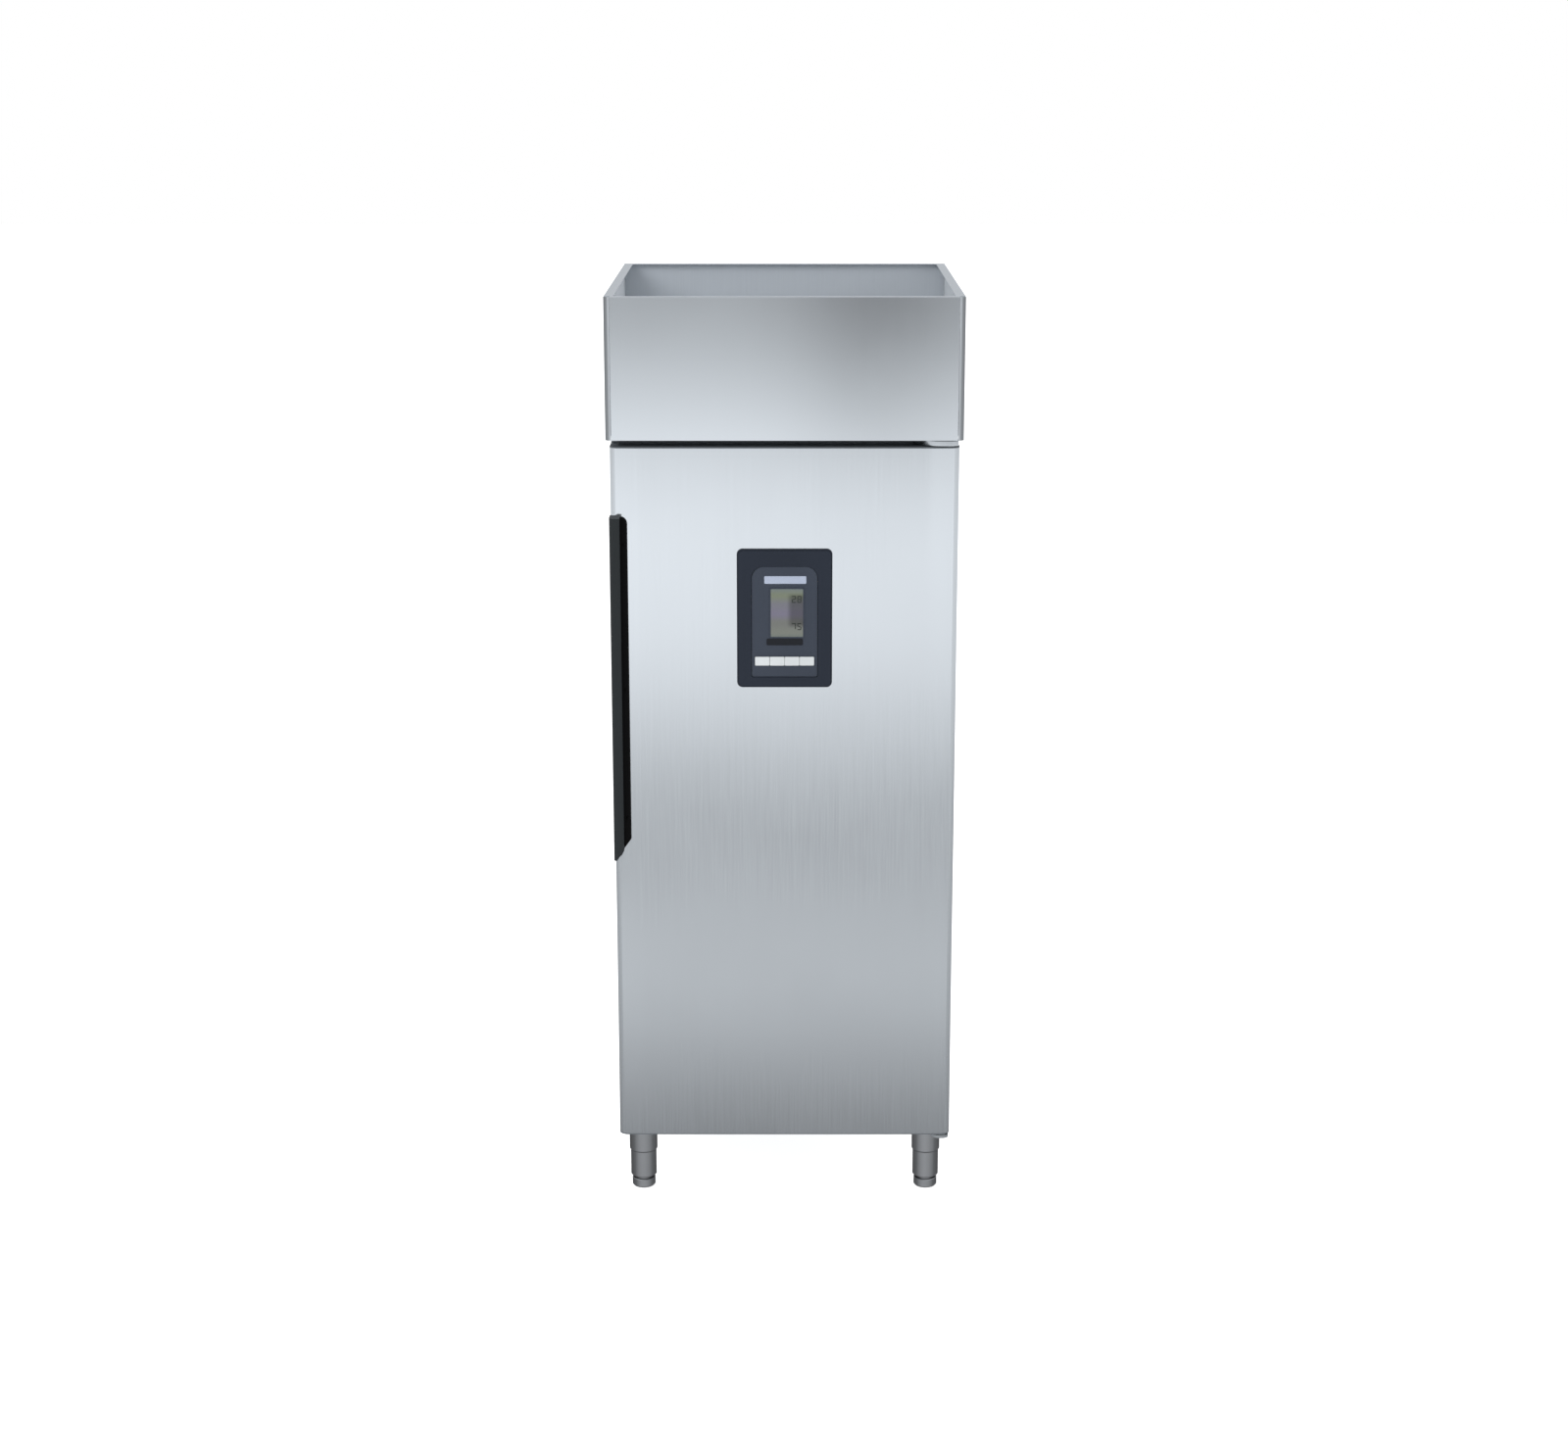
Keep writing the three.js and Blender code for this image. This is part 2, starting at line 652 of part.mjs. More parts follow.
function drainSpout() {
  const bore = 11;
  const tube = DRAIN.radius - 1;
  const flange = 26;
  const bottom = 120;
  const seat = CHAMBER_FLOOR + GAP;
  const top = CHAMBER_FLOOR + 2;
  const profile = [
    [bore, bottom],
    [tube, bottom],
    [tube, seat],
    [flange, seat],
    [flange, top],
    [bore, top],
    [bore, bottom],
  ];
  return turned(profile, 28);
}

// ---------------------------------------------------------------- legs and levelling feet
const LEG = { flange: 32.6, socket: 31.5, tube: 29, bore: 25, thread: 9, nutTop: 60, socketBottom: 92 };
const FOOT = { radius: 26, tip: 13, top: 27, stem: 8.9, stemTop: 100 };

function leg() {
  const top = LEG_HEIGHT - GAP;
  const plate = 6; // thickness of the fixing flange
  const bottom = FOOT.top + 1;
  const profile = [
    [0, top - plate - 2],
    [LEG.bore, top - plate - 2],
    [LEG.bore, LEG.nutTop],
    [LEG.thread, LEG.nutTop],
    [LEG.thread, bottom],
    [LEG.tube, bottom],
    [LEG.tube, LEG.socketBottom - 3],
    [LEG.socket, LEG.socketBottom],
    [LEG.socket, top - plate],
    [LEG.flange, top - plate],
    [LEG.flange, top],
    [0, top],
  ];
  return turned(profile, 24);
}

function foot() {
  const profile = [
    [0, 0],
    [FOOT.tip, 0],
    [FOOT.radius - 4, 5],
    [FOOT.radius, 10],
    [FOOT.radius, FOOT.top],
    [FOOT.stem, FOOT.top],
    [FOOT.stem, FOOT.stemTop],
    [0, FOOT.stemTop],
  ];
  return turned(profile, 24);
}

// ---------------------------------------------------------------- hinges
const PIN_RADIUS = 6;
const PIN_HOLE = 6.08;
const UPPER_ARM = { z0: DOOR_TOP + 1.8, z1: COLLAR_BOTTOM - 1.5 };
const LOWER_ARM = { z0: LEG_HEIGHT - 6.3, z1: LEG_HEIGHT - GAP };
const ARM_FRONT = FRONT + 3;

// Plan of a hinge arm: straight at the cabinet's side, rounded off towards the middle of the door.
function armPlan(inner, round, rear) {
  const plan = new THREE.Shape();
  plan.moveTo(BODY_HALF - 2, rear);
  plan.lineTo(inner, rear);
  plan.lineTo(inner, ARM_FRONT + round);
  plan.quadraticCurveTo(inner + 0.35 * round, ARM_FRONT + 0.1 * round, inner + round, ARM_FRONT);
  plan.lineTo(BODY_HALF - 16, ARM_FRONT);
  plan.absarc(BODY_HALF - 16, ARM_FRONT + 14, 14, -Math.PI / 2, 0);
  return plan;
}

function upperBracket() {
  const inner = 270;
  const rear = BODY_FRONT - GAP;
  const arm = raised(armPlan(inner, 55, rear), UPPER_ARM.z0, UPPER_ARM.z1);
  const plate = block(inner + 1, BODY_HALF - 3, rear - 5, rear, UPPER_ARM.z0 + 1, DECK_UPSTAND_TOP);
  return arm.add(plate).subtract(post(HINGE.x, HINGE.y, UPPER_ARM.z0 - 1, UPPER_ARM.z1 + 1, PIN_HOLE));
}

function lowerBracket() {
  const arm = raised(armPlan(326, 16, BODY_FRONT + 5), LOWER_ARM.z0, LOWER_ARM.z1);
  const tail = block(353, BODY_HALF - 2, BODY_FRONT, -230, LOWER_ARM.z0, LOWER_ARM.z1);
  return arm.add(tail).subtract(post(HINGE.x, HINGE.y, LOWER_ARM.z0 - 1, LOWER_ARM.z1 + 1, PIN_HOLE));
}

const BUSH = { radius: 11, flange: 14, bore: PIN_HOLE, length: 15 };

// Flanged nylon bush about the hinge axis, between two heights, its flange at the `flangeZ` end.
function hingeBush(z0, z1, flangeZ0, flangeZ1) {
  const sleeve = post(0, 0, z0, z1, BUSH.radius);
  const flange = post(0, 0, flangeZ0, flangeZ1, BUSH.flange);
  return sleeve.add(flange).subtract(post(0, 0, z0 - 20, z1 + 20, BUSH.bore));
}

const upperBush = () => hingeBush(DOOR_TOP - BUSH.length, DOOR_TOP + 1, DOOR_TOP + 0.2, UPPER_ARM.z0 - 0.4);

function lowerBush() {
  const flangeZ0 = LOWER_ARM.z1 + 0.4;
  const flangeZ1 = DOOR_BOTTOM - 0.2;
  return hingeBush(DOOR_BOTTOM - 1, DOOR_BOTTOM + BUSH.length, flangeZ0, flangeZ1);
}

const hingePin = (z0, z1) => post(0, 0, z0, z1, PIN_RADIUS);

// ---------------------------------------------------------------- door shell
// The door's plan, moved inwards by `inset`: square at the back, with rounded front edges.
function doorPlan(inset, rear) {
  const half = BODY_HALF - inset;
  const radius = DOOR_EDGE_RADIUS - inset;
  const y = FRONT + DOOR_EDGE_RADIUS;
  const cx = BODY_HALF - DOOR_EDGE_RADIUS;
  const plan = new THREE.Shape();
  plan.moveTo(half, rear);
  plan.lineTo(-half, rear);
  plan.lineTo(-half, y);
  plan.absarc(-cx, y, radius, Math.PI, 1.5 * Math.PI);
  plan.lineTo(cx, FRONT + inset);
  plan.absarc(cx, y, radius, -Math.PI / 2, 0);
  return plan;
}

const CAP_FLANGE = 2;
const CAP_PLUG = 14;
const PANEL = { half: 101, z0: 1194, z1: 1493 }; // bezel outline on the door
const MODULE = { half: 70, z0: 1217, z1: 1456, rear: FRONT + 33 };
const MODULE_CUT = 1.5; // room round the module's box in the door

function moduleCutout(y0, y1) {
  const grown = MODULE.half + MODULE_CUT;
  return block(-grown, grown, y0, y1, MODULE.z0 - MODULE_CUT, MODULE.z1 + MODULE_CUT);
}

function doorOuterSkin() {
  const z0 = DOOR_BOTTOM + CAP_FLANGE + GAP;
  const z1 = DOOR_TOP - CAP_FLANGE - GAP;
  const backReturn = 12;
  const whole = raised(doorPlan(0, DOOR_REAR), z0, z1, 8);
  const inside = raised(doorPlan(SHEET, DOOR_REAR - SHEET), z0 - 1, z1 + 1, 8);
  const half = BODY_HALF - backReturn;
  const backOpening = block(-half, half, DOOR_REAR - 5, DOOR_REAR + 5, z0 - 1, z1 + 1);
  return whole.subtract(inside).subtract(backOpening).subtract(moduleCutout(FRONT - 5, FRONT + 5));
}

const PLATEAU = { half: 300, z0: 232, z1: 1662, rise: 17 };

function doorInnerSkin() {
  const half = BODY_HALF - 12.5;
  const z0 = DOOR_BOTTOM + CAP_FLANGE + GAP;
  const z1 = DOOR_TOP - CAP_FLANGE - GAP;
  const front = DOOR_REAR - SHEET;
  const rear = DOOR_REAR + PLATEAU.rise;
  const rim = block(-half, half, front, DOOR_REAR, z0, z1);
  const raisedField = block(-PLATEAU.half, PLATEAU.half, front, rear, PLATEAU.z0, PLATEAU.z1);
  const hollow = block(
    -PLATEAU.half + SHEET,
    PLATEAU.half - SHEET,
    front - 1,
    rear - SHEET,
    PLATEAU.z0 + SHEET,
    PLATEAU.z1 - SHEET,
  );
  return rim.add(raisedField).subtract(hollow);
}

function doorInsulation() {
  const rear = DOOR_REAR - SHEET - GAP;
  const inset = CAP_FLANGE + CAP_PLUG + GAP;
  const core = raised(doorPlan(SHEET + 0.5, rear), DOOR_BOTTOM + inset, DOOR_TOP - inset, 6);
  const shrink = SHEET + GAP;
  const field = block(
    -PLATEAU.half + shrink,
    PLATEAU.half - shrink,
    rear - 1,
    DOOR_REAR + PLATEAU.rise - shrink,
    PLATEAU.z0 + shrink,
    PLATEAU.z1 - shrink,
  );
  return core.add(field).subtract(moduleCutout(FRONT, MODULE.rear + 2));
}

// End cap of the door: a thin flange over the skins' edges and a plug inside them.
function doorCap(outside, up) {
  const flangeInner = outside - up * CAP_FLANGE;
  const plugInner = flangeInner - up * CAP_PLUG;
  const low = Math.min(outside, flangeInner);
  const flange = raised(doorPlan(0, DOOR_REAR), low, low + CAP_FLANGE, 8);
  const plugLow = Math.min(flangeInner + up * 0.5, plugInner);
  const plug = raised(doorPlan(SHEET + GAP, DOOR_REAR - SHEET - GAP), plugLow, plugLow + CAP_PLUG + 0.5, 8);
  const hole = post(HINGE.x, HINGE.y, outside - 30, outside + 30, BUSH.radius + GAP);
  return flange.add(plug).subtract(hole);
}

// Magnetic seal: a broad foot against the door and a narrower bulb against the body's frame.
function doorGasket() {
  const outer = { half: 345, z0: 190, z1: 1704 };
  const width = 26;
  const ring = (inset, ringWidth, y0, y1) => {
    const { half, z0, z1 } = outer;
    const inner = inset + ringWidth;
    return block(-half + inset, half - inset, y0, y1, z0 + inset, z1 - inset).subtract(
      block(-half + inner, half - inner, y0 - 1, y1 + 1, z0 + inner, z1 - inner),
    );
  };
  const step = DOOR_REAR + 3.5;
  return ring(0, width, DOOR_REAR + GAP, step + 0.2).add(ring(5, width - 10, step, BODY_FRONT - GAP));
}

// ---------------------------------------------------------------- handle
const HANDLE = { left: -368.5, right: -331.5, tip: -346, bottom: 813, top: 1562, front: -435 };

// Front view of the handle, moved inwards by `inset`: top inner corner rounded, bottom inner corner cut away.
function handleFront(inset) {
  const { left, right, bottom, top } = HANDLE;
  const round = 16 - inset;
  const x1 = right - inset;
  const view = new THREE.Shape();
  view.moveTo(left - 1 + 1.6 * inset, bottom + 1.6 * inset);
  view.lineTo(left + 6, bottom + 1.6 * inset);
  view.lineTo(x1, bottom + 43 + 0.7 * inset);
  view.lineTo(x1, top - inset - round);
  view.absarc(x1 - round, top - inset - round, round, 0, Math.PI / 2);
  view.lineTo(left - 1 + 1.6 * inset, top - inset);
  return view;
}

function doorHandle() {
  const { left, right, tip, bottom, top, front } = HANDLE;
  const cx = -(BODY_HALF - DOOR_EDGE_RADIUS);
  const cy = FRONT + DOOR_EDGE_RADIUS;
  const seat = DOOR_EDGE_RADIUS + GAP;
  const floor = FRONT - 4; // bottom of the finger pocket
  const body = new THREE.Shape();
  body.moveTo(right, FRONT - GAP);
  body.lineTo(right, floor);
  body.lineTo(tip, floor - 0.5);
  body.lineTo(tip, front + 4);
  body.quadraticCurveTo(tip, front, tip - 5, front);
  body.lineTo(left + 12, front);
  body.quadraticCurveTo(left, front, left, front + 14);
  body.lineTo(left, cy);
  body.lineTo(cx - seat, cy);
  body.absarc(cx, cy, seat, Math.PI, 1.5 * Math.PI);
  const pocket = new THREE.Shape();
  pocket.moveTo(right + 5, floor);
  pocket.lineTo(-352, floor);
  pocket.quadraticCurveTo(-361, floor, -361, floor - 9);
  pocket.lineTo(-361, front + 13);
  pocket.quadraticCurveTo(-361, front + 6, -354, front + 6);
  pocket.lineTo(right + 5, front + 6);
  const shell = raised(body, bottom - 5, top + 5, 6).intersect(carried(handleFront(0), front - 5, cy + 5));
  const hollow = raised(pocket, bottom, top, 4).intersect(carried(handleFront(4), front - 5, cy + 5));
  return shell.subtract(hollow);
}

// ---------------------------------------------------------------- controller in the door
const BEZEL_FRONT = FRONT - 8;
const MODULE_FRONT = FRONT - 6;
const MODULE_WALL = 2.5;
const WINDOW = { x: 5, half: 35.5, z0: 1303, z1: 1409 };
const KEYS = { count: 4, pitch: 31.6, width: 31, z0: 1242, z1: 1261 };

// Front view of the display module: shoulders rounded at the top.
function moduleView(inset) {
  const half = MODULE.half - inset;
  const shoulder = 26;
  const low = 4;
  const z0 = MODULE.z0 + inset;
  const z1 = MODULE.z1 - inset;
  const view = new THREE.Shape();
  view.moveTo(-half + low, z0);
  view.lineTo(half - low, z0);
  view.absarc(half - low, z0 + low, low, -Math.PI / 2, 0);
  view.lineTo(half, z1 - shoulder);
  view.absarc(half - shoulder, z1 - shoulder, shoulder, 0, Math.PI / 2);
  view.lineTo(-half + shoulder, z1);
  view.absarc(-half + shoulder, z1 - shoulder, shoulder, Math.PI / 2, Math.PI);
  view.lineTo(-half, z0 + low);
  view.absarc(-half + low, z0 + low, low, Math.PI, 1.5 * Math.PI);
  return view;
}

function controlBezel() {
  const { half, z0, z1 } = PANEL;
  const step = 3;
  const base = carried(roundedRectangle(-half, half, z0, z1, 12), BEZEL_FRONT + step, FRONT - GAP, 5);
  const face = carried(
    roundedRectangle(-half + step, half - step, z0 + step, z1 - step, 10),
    BEZEL_FRONT,
    BEZEL_FRONT + step + 0.5,
    5,
  );
  return base.add(face).subtract(carried(moduleView(-0.5), FRONT - 20, FRONT + 5));
}

const keyMiddle = (i) => (i - (KEYS.count - 1) / 2) * KEYS.pitch;

function displayModule() {
  const wall = MODULE_WALL;
  const room = 0.4;
  const shell = carried(moduleView(0), MODULE_FRONT, MODULE.rear);
  const hollow = carried(moduleView(wall), MODULE_FRONT + wall + 1.5, MODULE.rear + 1);
  const seat = block(
    WINDOW.x - WINDOW.half - room,
    WINDOW.x + WINDOW.half + room,
    MODULE_FRONT - 1,
    MODULE_FRONT + 2.4,
    WINDOW.z0 - room,
    WINDOW.z1 + room,
  );
  const keysHalf = keyMiddle(KEYS.count - 1) + KEYS.width / 2 + room;
  const keySlot = block(-keysHalf, keysHalf, FRONT - 20, FRONT + 5, KEYS.z0 - room, KEYS.z1 + room);
  return shell.subtract(hollow).subtract(seat).subtract(keySlot);
}

function displayWindow() {
  const { x, half, z0, z1 } = WINDOW;
  return carried(roundedRectangle(x - half, x + half, z0, z1, 3), MODULE_FRONT - 0.6, MODULE_FRONT + 2, 3);
}

function circuitBoard() {
  const board = carried(moduleView(MODULE_WALL + GAP), FRONT + 16, FRONT + 17.6);
  const relay = block(-40, -12, FRONT + 17, FRONT + 29, 1250, 1278);
  const connector = block(10, 46, FRONT + 17, FRONT + 27, 1246, 1258);
  const display = block(WINDOW.x - 33, WINDOW.x + 33, FRONT + 8, FRONT + 16.5, 1310, 1400);
  return union(board, relay, connector, display);
}

// One push key about its own middle, with the plunger that reaches back to its switch.
function key() {
  const halfWidth = KEYS.width / 2;
  const halfHeight = (KEYS.z1 - KEYS.z0) / 2;
  const face = roundedRectangle(-halfWidth, halfWidth, -halfHeight, halfHeight, 2);
  const cap = carried(face, MODULE_FRONT - 2.5, FRONT - 1, 3);
  return cap.add(lying(0, 0, FRONT - 1.5, FRONT + 14.5, 3, 12));
}

// ---------------------------------------------------------------- everything in its place
const body = groupAt(cabinet, 0, 0, 0);
place(body, "side_panel_right", sidePanel(), STAINLESS);
place(body, "side_panel_left", mirrorX(sidePanel()), STAINLESS);
place(body, "back_panel", backPanel(), STAINLESS);
place(body, "base_pan", basePan(), STAINLESS);
place(body, "roof_panel", roofPanel(), STAINLESS);
place(body, "cabinet_insulation", cabinetInsulation(), FOAM);
place(body, "chamber_liner", chamberLiner(), LINER_STEEL);
place(body, "front_frame", frontFrame(), GREY_PLASTIC);
place(body, "drain_spout", drainSpout(), GREY_PLASTIC, DRAIN.x, DRAIN.y);

const collar = groupAt(cabinet, 0, 0, 0);
place(collar, "fascia_panel", fasciaPanel(), STAINLESS);
place(collar, "collar_side_right", collarSide(), STAINLESS);
place(collar, "collar_side_left", mirrorX(collarSide()), STAINLESS);
place(collar, "collar_back", collarBack(), STAINLESS);

const deck = groupAt(cabinet, 0, 0, 0);
place(deck, "control_box", controlBox(), ZINC_STEEL);
place(deck, "control_box_lid", controlBoxLid(), ZINC_STEEL);
place(deck, "mains_cable", mainsCable(), BLACK_PLASTIC);
place(deck, "steam_generator", steamGenerator(), LINER_STEEL, STEAM_TANK.x, STEAM_TANK.y);
place(deck, "steam_pipe", steamPipe(), LINER_STEEL);
place(deck, "water_valve", waterValve(), BLACK_PLASTIC);
place(deck, "water_hose", waterHose(), GREY_PLASTIC);

const fan = groupAt(cabinet, FAN.x, FAN.y, 0);
place(fan, "fan_motor", fanMotor(), ZINC_STEEL);
place(fan, "fan_impeller", fanImpeller(), GREY_PLASTIC);
place(fan, "heating_element", heatingElement(), SHEATH);
place(fan, "fan_guard", fanGuard(), LINER_STEEL, 0, 0, PLENUM_FLOOR - GAP - 2);

const chamber = groupAt(cabinet, 0, 0, 0);
place(chamber, "ceiling_plenum", ceilingPlenum(), LINER_STEEL);
place(chamber, "humidity_probe", humidityProbe(), ZINC_STEEL);
place(chamber, "rack_right", sideRack(), LINER_STEEL);
place(chamber, "rack_left", mirrorX(sideRack()), LINER_STEEL);
const shelfLevels = [1, 4, 7];
shelfLevels.forEach((level, i) => {
  const z = FIRST_LEVEL + level * LEVEL_PITCH + RUNNER.thickness + GAP;
  place(chamber, `wire_shelf_${i + 1}`, wireShelf(), CHROME_WIRE, 0, 0, z);
});

for (const [name, x, y] of LEG_PLACES) {
  const corner = groupAt(cabinet, x, y, 0);
  place(corner, `leg_${name}`, leg(), STAINLESS);
  place(corner, `foot_${name}`, foot(), ZINC_STEEL);
}

place(body, "hinge_bracket_upper", upperBracket(), STAINLESS);
place(body, "hinge_bracket_lower", lowerBracket(), STAINLESS);
const hinge = groupAt(cabinet, HINGE.x, HINGE.y, 0);
place(hinge, "hinge_pin_upper", hingePin(DOOR_TOP - 13, UPPER_ARM.z1 - GAP), ZINC_STEEL);
place(hinge, "hinge_pin_lower", hingePin(LOWER_ARM.z0 + GAP, DOOR_BOTTOM + 13), ZINC_STEEL);
place(hinge, "hinge_bush_upper", upperBush(), WHITE_PLASTIC);
place(hinge, "hinge_bush_lower", lowerBush(), WHITE_PLASTIC);

const door = groupAt(cabinet, 0, 0, 0);
place(door, "door_outer_skin", doorOuterSkin(), STAINLESS);
place(door, "door_inner_skin", doorInnerSkin(), LINER_STEEL);
place(door, "door_insulation", doorInsulation(), FOAM);
place(door, "door_cap_upper", doorCap(DOOR_TOP, 1), BLACK_PLASTIC);
place(door, "door_cap_lower", doorCap(DOOR_BOTTOM, -1), BLACK_PLASTIC);
place(door, "door_gasket", doorGasket(), GASKET_RUBBER);
place(door, "door_handle", doorHandle(), BLACK_PLASTIC);

place(door, "control_bezel", controlBezel(), BEZEL_PLASTIC);
place(door, "display_module", displayModule(), MODULE_PLASTIC);
place(door, "display_window", displayWindow(), LENS);
place(door, "circuit_board", circuitBoard(), BOARD);
for (let i = 0; i < KEYS.count; i++) {
  const z = (KEYS.z0 + KEYS.z1) / 2;
  place(door, `key_${i + 1}`, key(), WHITE_PLASTIC, keyMiddle(i), 0, z);
}

export default cabinet;
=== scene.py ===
"""Looks for the upright proofing cabinet: brushed stainless body and door, dark plastic grip and controller.

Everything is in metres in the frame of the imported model: x to the right, y from the door to the back, z up.
"""

import json
import math

import bmesh
import bpy
from mathutils import Matrix, Vector


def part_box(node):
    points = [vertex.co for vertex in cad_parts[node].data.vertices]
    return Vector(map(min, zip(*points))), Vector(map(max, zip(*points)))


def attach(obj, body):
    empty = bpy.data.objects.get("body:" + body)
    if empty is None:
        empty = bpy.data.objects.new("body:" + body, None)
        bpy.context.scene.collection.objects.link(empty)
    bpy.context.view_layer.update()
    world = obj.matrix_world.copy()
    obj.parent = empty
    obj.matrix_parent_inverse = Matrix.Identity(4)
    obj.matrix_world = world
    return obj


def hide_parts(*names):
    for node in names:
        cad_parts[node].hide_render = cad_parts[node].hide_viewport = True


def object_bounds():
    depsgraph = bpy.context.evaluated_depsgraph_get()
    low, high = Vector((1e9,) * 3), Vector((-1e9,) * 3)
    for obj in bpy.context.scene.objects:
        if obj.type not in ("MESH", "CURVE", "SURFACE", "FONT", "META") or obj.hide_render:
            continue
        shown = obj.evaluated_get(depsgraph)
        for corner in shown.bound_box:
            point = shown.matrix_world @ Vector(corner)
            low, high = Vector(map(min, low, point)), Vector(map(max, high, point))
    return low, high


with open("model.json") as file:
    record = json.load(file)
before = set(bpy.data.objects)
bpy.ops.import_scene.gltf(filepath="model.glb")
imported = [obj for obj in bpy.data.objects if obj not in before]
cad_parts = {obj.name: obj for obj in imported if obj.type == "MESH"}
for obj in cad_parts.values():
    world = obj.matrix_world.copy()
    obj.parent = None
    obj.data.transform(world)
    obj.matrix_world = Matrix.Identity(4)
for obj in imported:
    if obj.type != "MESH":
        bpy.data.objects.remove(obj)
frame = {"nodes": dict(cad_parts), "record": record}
cad_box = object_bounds()
NODES = frame["nodes"]
BODY_OF = {node: body for body, nodes in frame["record"]["behaviour"]["bodies"].items() for node in nodes}
SLOT_OF = {part["node"]: part["material_slot"] for part in frame["record"]["subparts"]}
DONE = set()  # CAD nodes that already have their finished piece
MM = 0.001


# -------- shader building
def feed(tree, socket, value):
    """Links an output to a node's input, or sets the input to a number or colour."""
    if isinstance(value, bpy.types.NodeSocket):
        tree.links.new(value, socket)
    else:
        socket.default_value = value


class Shader:
    """A node material, built by short calls."""

    def __init__(self, name):
        self.material = bpy.data.materials.new(name)
        self.material.use_nodes = True
        self.tree = self.material.node_tree
        self.surface = self.tree.nodes["Principled BSDF"]
        self.place = self.node("ShaderNodeTexCoord").outputs["Object"]

    def node(self, kind, settings=None, **inputs):
        made = self.tree.nodes.new(kind)
        for key, value in (settings or {}).items():
            setattr(made, key, value)
        for key, value in inputs.items():
            self.set(made, key.replace("_", " "), value)
        return made

    def set(self, node, socket, value):
        """Feeds a node's input, which is given by its name or its number."""
        names = [s.name.lower() for s in node.inputs]
        index = socket if isinstance(socket, int) else names.index(socket.lower())
        feed(self.tree, node.inputs[index], value)

    def look(self, **inputs):
        """Feeds inputs of the surface by their names."""
        for key, value in inputs.items():
            self.set(self.surface, key.replace("_", " "), value)

    def math(self, operation, a, b=0.0):
        made = self.tree.nodes.new("ShaderNodeMath")
        made.operation = operation
        self.set(made, 0, a)
        self.set(made, 1, b)
        return made.outputs[0]

    def stretched(self, scale, offset=(0, 0, 0)):
        mapping = self.node("ShaderNodeMapping", vector=self.place, scale=scale, location=offset)
        return mapping.outputs[0]

    def noise(self, scale, detail=2.0, roughness=0.5, vector=None):
        made = self.node("ShaderNodeTexNoise", scale=scale, detail=detail, roughness=roughness)
        self.set(made, "vector", self.place if vector is None else vector)
        return made.outputs["Fac"]

    def carried(self, value, low, high, to_low, to_high, kind="LINEAR"):
        """A value between low and high, carried to the range between to_low and to_high."""
        made = self.node("ShaderNodeMapRange", {"interpolation_type": kind}, value=value)
        ends = {"from min": low, "from max": high, "to min": to_low, "to max": to_high}
        for socket, number in ends.items():
            self.set(made, socket, number)
        return made.outputs[0]

    def spread(self, noise, low, high):
        """A noise value, which mostly lies between a quarter and three quarters, carried to low..high."""
        return self.carried(noise, 0.25, 0.75, low, high)

    def scaled(self, color, factor):
        made = self.node("ShaderNodeVectorMath", {"operation": "SCALE"})
        self.set(made, 0, color)
        self.set(made, "scale", factor)
        return made.outputs[0]

    def mixed(self, factor, a, b):
        """A colour between a and b."""
        made = self.node("ShaderNodeMix", {"data_type": "RGBA"})
        for socket, value in ((0, factor), (6, a), (7, b)):  # the inputs of its colour mode
            self.set(made, socket, value)
        return made.outputs[2]

    def ramp(self, value, stops, interpolation="LINEAR"):
        """A colour by a 0 to 1 value, from (position, colour) stops."""
        made = self.node("ShaderNodeValToRGB", fac=value)
        fill_ramp(made.color_ramp, stops, interpolation)
        return made.outputs[0]

    def bump(self, height, distance, strength=1.0):
        made = self.node("ShaderNodeBump", height=height, distance=distance, strength=strength)
        self.look(normal=made.outputs[0])


def fill_ramp(color_ramp, stops, interpolation):
    """Gives a new ramp, which starts with two elements, its (position, colour) stops."""
    color_ramp.interpolation = interpolation
    for element, (position, color) in zip(color_ramp.elements, (stops[0], stops[-1])):
        element.position = position
        element.color = color
    for position, color in stops[1:-1]:
        color_ramp.elements.new(position).color = color


def rgb(red, green, blue):
    """An sRGB colour of 0 to 255 as the linear colour that nodes use."""
    shares = [level / 255 for level in (red, green, blue)]
    linear = [c / 12.92 if c <= 0.04045 else ((c + 0.055) / 1.055) ** 2.4 for c in shares]
    return (*linear, 1.0)


# -------- materials
GRAIN = {"x": (8, 900, 900), "y": (900, 8, 900), "z": (900, 900, 8)}  # noise cycles per metre


